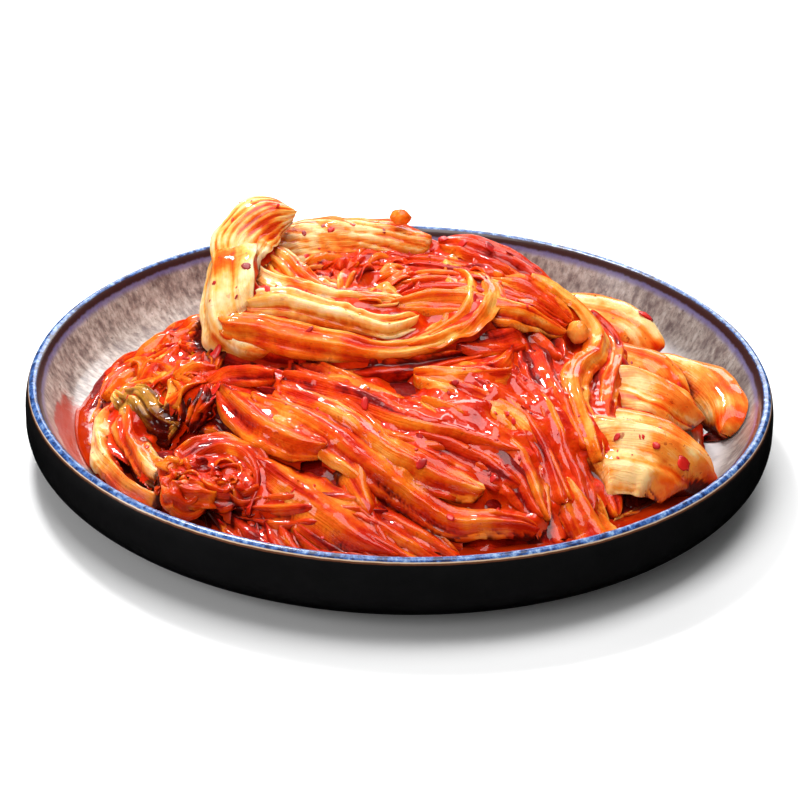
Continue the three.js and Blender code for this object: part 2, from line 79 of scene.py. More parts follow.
def turned_offsets(x, y, at_x, at_y, degrees):
    """How far a point is from a place, along a line turned by some degrees and across it."""
    c, s = math.cos(math.radians(degrees)), math.sin(math.radians(degrees))
    return (x - at_x) * c + (y - at_y) * s, (y - at_y) * c - (x - at_x) * s


def heap_height(x, y):
    share = np.minimum(np.hypot(x, y) / heap_reach(np.arctan2(y, x)), 1)
    height = HEAP_FLOOR + (HEAP_TOP - HEAP_FLOOR) * (1 - share**2.2) ** 0.9
    for at_x, at_y, long, short, turn, depth in HOLLOWS:
        off_x, off_y = turned_offsets(x, y, at_x, at_y, turn)
        height = height - depth * np.exp(-((off_x / long) ** 2 + (off_y / short) ** 2) ** 1.5)
    return np.maximum(height, HEAP_FLOOR)


def unit(vectors):
    return vectors / np.maximum(np.linalg.norm(vectors, axis=-1, keepdims=True), 1e-9)


def heap_normal(x, y, step=2.0):
    slope_x = (heap_height(x + step, y) - heap_height(x - step, y)) / (2 * step)
    slope_y = (heap_height(x, y + step) - heap_height(x, y - step)) / (2 * step)
    return unit(np.stack([-slope_x, -slope_y, np.ones_like(slope_x)], -1))


def inside_dish(points, gap=0.4):
    """Moves points that reach the dish's wall or floor back inside it."""
    radii, heights = np.array(INNER).T
    reach = np.hypot(points[..., 0], points[..., 1])
    wall = np.interp(points[..., 2], heights[1:], radii[1:]) - gap
    shrink = np.where(points[..., 2] < WALL_TOP, np.minimum(wall / np.maximum(reach, 1e-6), 1), 1)
    points = points * np.stack([shrink, shrink, np.ones_like(shrink)], -1)
    floor_height = np.interp(np.hypot(points[..., 0], points[..., 1]), radii, heights) + gap
    points[..., 2] = np.clip(points[..., 2], floor_height, HIGHEST)
    return points


print("heap height over the middle:", float(heap_height(0.0, 0.0)))

# %% [markdown]
# ## Noise
# No two real leaves are alike. Random bumps could come from textures, but the meshes, the sauce and the
# flakes have to agree on them. So one smooth random field is worked out here: random values on a lattice,
# blended between its points. The warp bends the whole heap a little, the same way for neighbours, so that
# leaves that touch still touch.

# %% Noise


def lattice(ix, iy, iz, seed):
    """A random value between -1 and 1 for each lattice point."""
    h = ix.astype(np.uint32) * np.uint32(73856093)
    h ^= iy.astype(np.uint32) * np.uint32(19349663)
    h ^= iz.astype(np.uint32) * np.uint32(83492791)
    h ^= np.uint32((seed * 2654435761) % 2**32)
    h = (h ^ (h >> np.uint32(13))) * np.uint32(1274126177)
    h ^= h >> np.uint32(16)
    return h.astype(float) / 2**31 - 1


def noise(points, size, seed=0):
    """A value between -1 and 1 at each point, that changes over about the given size."""
    scaled = points / size
    cell = np.floor(scaled)
    part = scaled - cell
    part = part * part * (3 - 2 * part)
    ix, iy, iz = np.moveaxis(cell.astype(np.int64), -1, 0)
    total = 0
    for dx in (0, 1):
        wx = part[..., 0] if dx else 1 - part[..., 0]
        for dy in (0, 1):
            wy = part[..., 1] if dy else 1 - part[..., 1]
            for dz in (0, 1):
                wz = part[..., 2] if dz else 1 - part[..., 2]
                total = total + wx * wy * wz * lattice(ix + dx, iy + dy, iz + dz, seed)
    return total


def warp(points):
    big = np.stack([noise(points, 17, seed) for seed in (11, 12, 13)], -1)
    small = np.stack([noise(points, 6, seed) for seed in (14, 15, 16)], -1)
    return points + big * [1.7, 1.7, 1.0] + small * [0.3, 0.3, 0.25]


print("noise at the middle:", round(float(noise(np.zeros((1, 3)), 17, 11)[0]), 3))

# %% [markdown]
# ## From points to meshes
# Thousands of points could be added one by one, which is slow. Here whole arrays go into a mesh at once.
# Values for each point, such as how high it lies on a pleat, go with it for the materials to read.

# %% Meshes


def grid_faces(rows, columns, around=False):
    """The four-sided faces between neighbouring points of a grid; around closes each row on itself."""
    steps = columns if around else columns - 1
    i, j = np.meshgrid(np.arange(rows - 1), np.arange(steps), indexing="ij")
    k = (j + 1) % columns
    corners = [i * columns + j, i * columns + k, (i + 1) * columns + k, (i + 1) * columns + j]
    return np.stack(corners, -1).reshape(-1, 4)


def make_mesh(name, points, faces, values, material):
    mesh = bpy.data.meshes.new(name)
    mesh.vertices.add(len(points))
    mesh.vertices.foreach_set("co", (points * MM).astype(np.float32).ravel())
    mesh.loops.add(faces.size)
    mesh.loops.foreach_set("vertex_index", faces.astype(np.int32).ravel())
    mesh.polygons.add(len(faces))
    sides = faces.shape[1]
    mesh.polygons.foreach_set("loop_start", np.arange(0, faces.size, sides, dtype=np.int32))
    mesh.polygons.foreach_set("use_smooth", np.ones(len(faces), bool))
    for label, value in values.items():
        attribute = mesh.attributes.new(label, "FLOAT", "POINT")
        attribute.data.foreach_set("value", np.asarray(value, np.float32).ravel())
    mesh.update(calc_edges=True)
    mesh.validate()
    mesh.materials.append(material)
    thing = bpy.data.objects.new(name, mesh)
    bpy.context.collection.objects.link(thing)
    return thing


def joined(pieces):
    """Several (points, faces, values) as one."""
    points = np.concatenate([p for p, _, _ in pieces])
    offsets = np.cumsum([0] + [len(p) for p, _, _ in pieces[:-1]])
    faces = np.concatenate([f + o for (_, f, _), o in zip(pieces, offsets)])
    labels = pieces[0][2]
    values = {label: np.concatenate([v[label].ravel() for _, _, v in pieces]) for label in labels}
    return points, faces, values


def place(thing, slot, *nodes):
    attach(thing, "root")
    if nodes:
        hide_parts(*nodes)
    return thing


print("faces in a grid of 3 by 3 points:", len(grid_faces(3, 3)))

# %% [markdown]
# ## Wires
# A material is a network of nodes. Long networks are hard to read, so a wire stands for a value on its way
# from node to node, and adding or multiplying wires adds the node that does it.

# %% Wires


def tone(red, green, blue):
    """A colour given as it looks on screen, from 0 to 255."""
    shares = [c / 255 for c in (red, green, blue)]
    linear = [s / 12.92 if s <= 0.04 else ((s + 0.055) / 1.055) ** 2.4 for s in shares]
    return (*linear, 1.0)


class Wire:
    """A value inside a material, with arithmetic."""

    def __init__(self, look, socket):
        self.look = look
        self.socket = socket

    def _math(self, operation, a, b, clamp=False):
        settings = {"operation": operation, "use_clamp": clamp}
        return self.look.node("ShaderNodeMath", settings, {0: a, 1: b})

    def __add__(self, other):
        return self._math("ADD", self, other)

    def __sub__(self, other):
        return self._math("SUBTRACT", self, other)

    def __rsub__(self, other):
        return self._math("SUBTRACT", other, self)

    def __mul__(self, other):
        return self._math("MULTIPLY", self, other)

    __radd__ = __add__
    __rmul__ = __mul__

    def clamped(self):
        return self._math("ADD", self, 0.0, clamp=True)

    def between(self, low, high):
        """0 at low and 1 at high, eased."""
        settings = {"interpolation_type": "SMOOTHSTEP"}
        return self.look.node("ShaderNodeMapRange", settings, {0: self, 1: low, 2: high})


class Look:
    """A material and the nodes in it."""

    def __init__(self, name, **plain):
        self.material = bpy.data.materials.new(name)
        self.material.use_nodes = True
        self.tree = self.material.node_tree
        self.skin = self.tree.nodes["Principled BSDF"]
        for label, value in plain.items():
            self.skin.inputs[label.replace("_", " ")].default_value = value

    def node(self, kind, settings=None, inputs=None, output=0):
        made = self.tree.nodes.new(kind)
        for label, value in (settings or {}).items():
            setattr(made, label, value)
        for label, value in (inputs or {}).items():
            if isinstance(value, Wire):
                self.tree.links.new(value.socket, made.inputs[label])
            else:
                made.inputs[label].default_value = value
        return Wire(self, made.outputs[output])

    def feed(self, label, wire):
        self.tree.links.new(wire.socket, self.skin.inputs[label])

    def value(self, label):
        return self.node("ShaderNodeAttribute", {"attribute_name": label}, output="Fac")

    def mix(self, share, a, b):
        settings = {"data_type": "RGBA"}
        return self.node("ShaderNodeMix", settings, {"Factor": share, 6: a, 7: b}, output=2)

    def vector(self, x, y, z):
        return self.node("ShaderNodeCombineXYZ", None, {0: x, 1: y, 2: z})

    def spots(self, where, scale, detail=2.0, rough=0.5):
        inputs = {"Vector": where, "Scale": scale, "Detail": detail, "Roughness": rough}
        return self.node("ShaderNodeTexNoise", None, inputs)

    def ramp(self, share, stops):
        made = self.node("ShaderNodeValToRGB", None, {0: share})
        ramp = made.socket.node.color_ramp
        while len(ramp.elements) < len(stops):
            ramp.elements.new(0.5)
        for element, (position, colour) in zip(ramp.elements, stops):
            element.position = position
            element.color = colour
        return made

    def bump(self, height, distance, strength=1.0):
        inputs = {"Height": height, "Distance": distance, "Strength": strength}
        return self.node("ShaderNodeBump", None, inputs)

    def here(self):
        return self.node("ShaderNodeTexCoord", output="Object")


print("mid grey on screen is", round(tone(128, 128, 128)[0], 3), "in light")

# %% [markdown]
# ## Leaf materials
# A real leaf is palest on its ridges and red in its creases, where sauce sits. It is wet, and lets some
# light in. Photos of leaves could be laid on it, but would repeat and stretch. Instead the mesh says how
# high each point lies on its fold (ridge), how thick the film of sauce is (film) and how far down the point
# lies in the heap, as a painted shade, and a ramp of colours turns that into a tone. The pale ridges and
# edges are partly a painted highlight, and points far down in the heap are darkened as painted shade. Fine
# fibres run along the leaf, and a clear coat makes it wet.

# %% Leaf materials
# Painted shade colours: the crease red and the deepest red darken creases and places far down in the heap;
# the crease red is also the darkest end of the orange and sauced ramps.
CREASE_SHADE_RED = tone(118, 4, 0)
DEEPEST_SHADE = tone(52, 2, 0)
POWDER = tone(170, 30, 4)
RED = tone(196, 30, 0)
ORANGE = tone(224, 66, 2)
AMBER = tone(242, 122, 22)
CREAM = tone(252, 176, 82)


def leaf_look(name, stops, powder, fibre=0.2, crumbs=0.7):
    look = Look(name, Roughness=0.45, Coat_Weight=0.55, Coat_Roughness=0.05, IOR=1.36,
                Specular_IOR_Level=0.15, Subsurface_Weight=0.3, Subsurface_Radius=(1.0, 0.35, 0.1),
                Subsurface_Scale=0.002)
    here = look.here()
    painted_shade = look.value("painted_shade")
    run = look.value("along")
    across = look.value("across")
    leaf = look.value("leaf")
    fibres = look.spots(look.vector(run * 0.03, across * 0.8, leaf * 7.0), 1.0, 3.0, 0.6)
    veins = look.spots(look.vector(run * 0.07, across * 2.6, leaf * 5.0), 1.0, 2.0, 0.5)
    stain = look.spots(here, 70.0, 4.0, 0.6)
    # The ridge value also carries a painted highlight on fold tops and leaf edges.
    share = look.value("ridge") * 0.9 + (fibres - 0.5) * fibre * 2.2 + (stain - 0.5) * 2.4
    share = share + 0.22 - look.value("film") * 0.6
    # Painted shade: points low in the heap, in cracks, over the left cluster and at the front are darkened
    # towards dark red.
    colour = look.ramp((share - painted_shade * 0.3).clamped(), stops)
    colour = look.mix(painted_shade * 0.8, colour, CREASE_SHADE_RED)
    colour = look.mix(painted_shade.between(0.4, 0.95) * 0.85, colour, DEEPEST_SHADE)
    grains = look.spots(here, 560.0, 2.0, 0.55).between(0.60, 0.70)
    patches = look.spots(here, 120.0).between(0.46, 0.6)
    look.feed("Base Color", look.mix(grains * patches * powder, colour, POWDER))
    relief = fibres * 0.7 + veins * 0.35 + look.spots(here, 420.0, 3.0) * crumbs
    look.feed("Normal", look.bump(relief, 0.0009, 0.85))
    return look.material


LEAVES = {
    "stem": leaf_look("pale stem", [(0.0, tone(216, 50, 0)), (0.3, tone(234, 92, 10)),
                                    (0.68, tone(248, 152, 56)), (1.0, tone(255, 214, 146))], 0.7, 0.2, 0.3),
    "cream": leaf_look("cream leaf", [(0.0, tone(216, 54, 2)), (0.25, tone(240, 112, 20)),
                                      (0.52, tone(252, 180, 86)), (0.95, tone(255, 228, 176))],
                       0.35, 0.16, 0.3),
    "pale": leaf_look("pale leaf", [(0.0, RED), (0.24, ORANGE), (0.66, AMBER), (1.0, CREAM)], 0.5),
    "orange": leaf_look("orange leaf", [(0.0, CREASE_SHADE_RED), (0.2, RED), (0.55, ORANGE), (1.0, AMBER)], 0.6),
    "sauced": leaf_look("sauced leaf", [(0.0, CREASE_SHADE_RED), (0.3, RED), (0.8, ORANGE), (1.0, AMBER)], 0.8),
    "olive": leaf_look("olive leaf", [(0.0, tone(70, 20, 2)), (0.35, tone(120, 70, 12)),
                                      (0.75, tone(186, 130, 44)), (1.0, CREAM)], 0.6, 0.3),
}
SLOTS = {"stem": "pale_leaf", "cream": "pale_leaf", "pale": "pale_leaf", "orange": "red_leaf",
         "sauced": "red_leaf", "olive": "green_leaf"}
print("leaf materials:", ", ".join(LEAVES))

# %% [markdown]
# ## Strips
# A cabbage leaf is a limp sheet with folds along it, a ruffled edge and a thick or thin body. Cloth
# physics could drape it, but then no leaf would lie where the photo shows it. So a leaf is built as a strip:
# a smooth line through the points of its route, and a closed outline across it at each step. Its face looks
# along the heap's normal, or straight up, and leans by tilt degrees. Folds are rounded ridges with sharp
# creases, and their number follows from the leaf's width.

# %% Lines
STEP = 0.62


def eased(values, u):
    """Values given at even places along a leaf, eased between them."""
    values = np.atleast_1d(np.asarray(values, float))
    if len(values) == 1:
        return np.full_like(u, values[0])
    position = u * (len(values) - 1)
    low = np.minimum(position.astype(int), len(values) - 2)
    t = position - low
    t = t * t * (3 - 2 * t)
    return values[low] * (1 - t) + values[low + 1] * t


def smooth_line(points, step):
    """Evenly spaced points on a smooth curve through the given ones."""
    p = np.array(points, float)
    p = np.vstack([2 * p[0] - p[1], p, 2 * p[-1] - p[-2]])
    dense = []
    for a, b, c, d in zip(p[:-3], p[1:-2], p[2:-1], p[3:]):
        t1 = np.linalg.norm(b - a) ** 0.5
        t2 = t1 + np.linalg.norm(c - b) ** 0.5
        t3 = t2 + np.linalg.norm(d - c) ** 0.5
        t = np.linspace(t1, t2, 40, endpoint=False)[:, None]
        a1 = (t1 - t) / t1 * a + t / t1 * b
        a2 = (t2 - t) / (t2 - t1) * b + (t - t1) / (t2 - t1) * c
        a3 = (t3 - t) / (t3 - t2) * c + (t - t2) / (t3 - t2) * d
        b1 = (t2 - t) / t2 * a1 + t / t2 * a2
        b2 = (t3 - t) / (t3 - t1) * a2 + (t - t1) / (t3 - t1) * a3
        dense.append((t2 - t) / (t2 - t1) * b1 + (t - t1) / (t2 - t1) * b2)
    dense = np.vstack(dense + [p[-2:-1]])
    length = np.concatenate([[0], np.cumsum(np.linalg.norm(np.diff(dense, axis=0), axis=1))])
    even = np.linspace(0, length[-1], max(6, int(round(length[-1] / step))) + 1)
    return np.stack([np.interp(even, length, dense[:, k]) for k in range(3)], -1), even


print("steps on a line of 10 mm:", len(smooth_line([(0, 0, 0), (5, 0, 0), (10, 0, 0)], STEP)[1]) - 1)

# %% Strips
FLATTEN = 0.96


def end_faces(rows, columns, top):
    """Faces that close both ends of a strip."""
    faces = []
    for first, flip in ((0, False), ((rows - 1) * columns, True)):
        upper = first + np.arange(top + 1)
        lower = first + np.concatenate([[0], np.arange(top + 1, columns)[::-1], [top]])
        match = np.round(np.linspace(0, len(lower) - 1, top + 1)).astype(int)
        quads = np.stack([upper[:-1], upper[1:], lower[match[1:]], lower[match[:-1]]], -1)
        faces.append(quads if flip else quads[:, ::-1])
    return faces


def strip(route, width, tilt=0, crown=1.5, pleats=2, pleat_depth=0.6, thickness=1.3, lift=2,
          upright=False, ruffle=0.5, crease=0.9, spacing=5.5, wrinkle=0.3, twist=0.0, film=0.4, filled=0.0,
          seed=1, step=STEP):
    """Points, faces and values of one leaf."""
    points = [(x, y, z[0] if z else float(heap_height(x, y)) + lift) for x, y, *z in route]
    centre, run = smooth_line(points, step)
    u = run / run[-1]
    tangent = unit(np.gradient(centre, axis=0))
    outward = np.tile([0.0, 0, 1], (len(u), 1)) if upright else heap_normal(centre[:, 0], centre[:, 1])
    right = unit(np.cross(tangent, outward))
    lean = np.radians(eased(tilt, u))[:, None]
    face = np.cross(right, tangent) * np.cos(lean) + right * np.sin(lean)
    side = unit(np.cross(tangent, face))

    # The outline's half width, rounded off at both ends, and the points across it.
    half = eased(width, u) / 2
    ragged = 1 + 0.5 * math.sin(seed * 1.7)
    tip = np.clip(np.minimum(run, run[-1] - run) / (ragged * half + 0.8), 0, 1)
    rounded = (np.sqrt(1 - (1 - tip) ** 2) * 0.9 + 0.1)[:, None]
    top = max(6, int(round(half.max() * 2 / step)))
    under = max(4, top // 3)
    quarter = math.pi / 2 * FLATTEN
    v_top = np.sin(np.linspace(-1, 1, top + 1) * quarter) / math.sin(quarter)
    v = np.concatenate([v_top, np.linspace(1, -1, under + 2)[1:-1]])[None, :]
    is_top = np.concatenate([np.ones(top + 1), -np.ones(under)])[None, :] > 0
    s = run[:, None] + 0 * v
    edge_place = np.stack([s, np.sign(v) * 5 + 0 * s, np.full_like(s, seed * 9.7)], -1)
    edge = 1 + 0.16 * noise(edge_place, 12, seed) + 0.06 * noise(edge_place, 4, seed + 1)
    across = v * half[:, None] * rounded * (1 + (edge - 1) * np.abs(v))

    # Folds along the leaf: big ones, finer ones between them, and creases that come and go.
    folds = max(1, round(2 * half.max() / spacing))
    slow_place = np.stack([s * 0.13, v * half.max() * 0.5 + 0 * s, np.full_like(s, seed * 13.1)], -1)
    bend = 1.3 * noise(slow_place, 3.2, seed + 2) + twist * s
    ridge = np.abs(np.sin(math.pi / 2 * folds * v + bend + seed))
    fine = np.abs(np.sin(math.pi / 2 * folds * 2.7 * v + 2.2 * bend + seed * 2))
    flat_place = np.stack([s, across, np.full_like(s, seed * 3.3)], -1)
    strength = np.clip(0.7 + 0.7 * noise(flat_place, 13, seed + 4), 0.05, 1.3)
    relief = crease * strength * (ridge - 0.65) + 0.16 * crease * (fine - 0.6)
    sway = 2.0 * np.sin(2 * u + pleats)[:, None]
    fold = 1.4 * pleat_depth * np.cos(math.pi * pleats * v + sway) * (1 - v**4)
    crumple = wrinkle * (noise(flat_place, 5.5, seed + 5) + 0.4 * noise(flat_place, 2.2, seed + 6))
    phase = 3 * noise(edge_place, 13, seed + 7)
    frill = np.sin(2 * math.pi * s / 10 + phase * 2 + np.sign(v) * 1.3) * ruffle * np.abs(v) ** 2.5

    # The body: how far each point stands off the leaf's middle surface.
    bulge = np.sqrt(np.clip(1 - v**6, 0, 1)) * (1 - 0.35 * v**2)
    depth = thickness / 2 * bulge * (0.35 + 0.65 * rounded)
    under_side = -depth - filled * (crown * (1 - v**2) + fold)
    body = np.where(is_top, depth + relief * (1 - v**8), under_side)
    offset = fold - crown * v**2 + crumple + frill + body
    solid = centre[:, None] + side[:, None] * across[..., None] + face[:, None] * offset[..., None]
    # The tone across the leaf: ridge tops and the very edges are paler as a painted highlight, and creases
    # are redder where sauce sits.
    height = strength * 0.75 * (ridge - 0.6) + 0.6 + 0.2 * (fine - 0.6) + 0.3 * crumple + 0.3 * v**12
    values = {
        "ridge": np.clip(np.where(is_top, height, 0.3), 0, 1),
        "along": s,
        "across": across,
        "leaf": np.full_like(across, seed % 97),
        "film": np.clip(eased(film, u)[:, None] + 0.4 * noise(flat_place, 12, seed + 8), 0, 1),
    }
    rows, columns = across.shape
    faces = [grid_faces(rows, columns, around=True)] + end_faces(rows, columns, top)
    return inside_dish(warp(solid.reshape(-1, 3))), np.concatenate(faces), values


surface = []
leaf_things = []


def lay(name, kind, pieces, *nodes):
    """Makes one mesh of some leaves, and keeps their points for the height map."""
    surface.extend(p for p, _, _ in pieces)
    leaf_things.append(place(make_mesh(name, *joined(pieces), LEAVES[kind]), SLOTS[kind], *nodes))


print("strips ready")

# %% [markdown]
# ## The named leaves
# These are the leaves that the photo shows clearly: the roll on top, the strands and stems at the right, the
# cluster at the left and the long leaves in front. They could be modelled one by one. As strips on the same
# routes as the solids they need one entry each: a kind, widths from end to end, and a route of points in
# millimetres, or of places on the heap where no height is given. The thick stems are filled underneath.

# %% The roll
ROLL = {
    "roll_tip_flap": ("cream", dict(
        width=[8, 15, 19, 20, 15], tilt=[-20, -10, 10, 35, 50], crown=2.5, spacing=2.6, crease=0.6, pleats=1,
        film=[0.3, 0.3, 0.5, 0.7], twist=0.12,
        route=[(-46, 2, 54), (-49, 10, 59), (-47, 17, 63.5), (-41, 22, 66.5), (-34, 26, 66)])),
    "roll_wrap_leaf": ("cream", dict(
        width=[12, 18, 22, 22, 20, 16, 10], crown=5, thickness=2, tilt=[30, 40, 45, 45, 50, 60, 70],
        spacing=4.5, crease=0.4, ruffle=0.2, film=[0.5, 0.3, 0.15, 0.2, 0.6],
        route=[(-45, 31, 56), (-52, 21, 58), (-55, 9, 57), (-55.5, -1, 52), (-53, -9, 46), (-46, -14, 42),
               (-34, -16, 41)])),
    "roll_back_band": ("stem", dict(
        width=[17, 18, 18, 17, 12], tilt=[20, 25, 30, 30, 20], crown=4, pleats=1, spacing=3.2, crease=0.7,
        twist=-0.3, film=[0.2, 0.25, 0.2, 0.35, 0.7],
        route=[(-45, 18, 56), (-31, 26, 57.5), (-18, 29, 58), (-4, 30, 58), (8, 29, 57)])),
    "roll_inner_band": ("pale", dict(
        width=[9, 12, 12, 11, 8], tilt=25, pleats=3, spacing=3, film=0.3,
        route=[(-43, 18, 57), (-37, 13, 56), (-32, 6, 54), (-25, 1, 52), (-15, -3, 50)])),
    "roll_front_band": ("cream", dict(
        film=[0.3, 0.4, 0.5, 0.7], width=[9, 10, 9, 9, 8, 6], tilt=[50, 50, 45, 45, 40, 30],
        route=[(-46, -6, 51), (-35, -7, 52.5), (-23, -11, 51.5), (-12, -15, 50.5), (-3, -15, 50),
               (5, -10, 50)])),
    "roll_ribbon": ("pale", dict(
        width=[8, 10, 10, 9, 8, 8, 8, 6], tilt=[70, 62, 60, 60, 55, 50], crease=0.25, spacing=5, ruffle=0.2,
        crown=2.2, wrinkle=0.15, film=[0.2, 0.35, 0.4, 0.4],
        route=[(-53, -9, 47), (-51, -13, 46), (-41, -15, 46), (-29, -19, 45.5), (-17, -22, 45),
               (-6, -23, 44.5), (5, -21, 45), (14, -16, 46), (20, -9, 48)])),
    "roll_pleats": ("pale", dict(
        width=[9, 15, 17, 15, 11, 7], pleats=3, pleat_depth=0.9, spacing=3.4, film=0.35,
        route=[(13, 17, 51), (18, 9, 53.5), (20, 1, 52.5), (18, -8, 50), (11, -15, 47.5), (2, -20, 45.5)])),
    "roll_right_band": ("sauced", dict(
        width=[12, 15, 16, 14, 12, 8], tilt=[0, 0, -5, -10, -15], crown=3, pleats=3,
        route=[(10, 29, 56), (18, 28, 56.5), (28, 24, 55), (38, 20, 51), (46, 17, 46), (53, 15, 42)])),
    "roll_red_leaf": ("sauced", dict(
        width=[9, 13, 13, 9], tilt=20, route=[(25, 11, 51), (34, 10, 50), (43, 8, 46), (50, 6, 41)])),
    "roll_under_leaf": ("sauced", dict(
        width=[9, 13, 14, 13, 12, 9], tilt=[70, 74, 76, 76, 76, 70], crown=-1, crease=0.25, spacing=6,
        ruffle=0.15, wrinkle=0.2, film=[0.5, 0.5, 0.75, 0.9],
        route=[(-54, -4, 41), (-49, -13, 40), (-38, -15.5, 39.5), (-26, -18, 39), (-12, -20, 39),
               (4, -18, 40.5)])),
    "tongue_leaf": ("sauced", dict(
        width=[5, 10, 12, 10, 9, 8, 6], tilt=[40, 50, 55, 55, 50, 45], pleats=2, pleat_depth=0.8,
        ruffle=0.8, film=0.45,
        route=[(-25, -21, 36.5), (-15, -26, 37), (-6, -27, 38.5), (3, -25, 39.5), (11, -22, 40),
               (19, -19, 40.5), (27, -13, 41)])),
}
for kind, shape in ROLL.values():
    shape["upright"] = True
print("leaves of the roll:", len(ROLL))

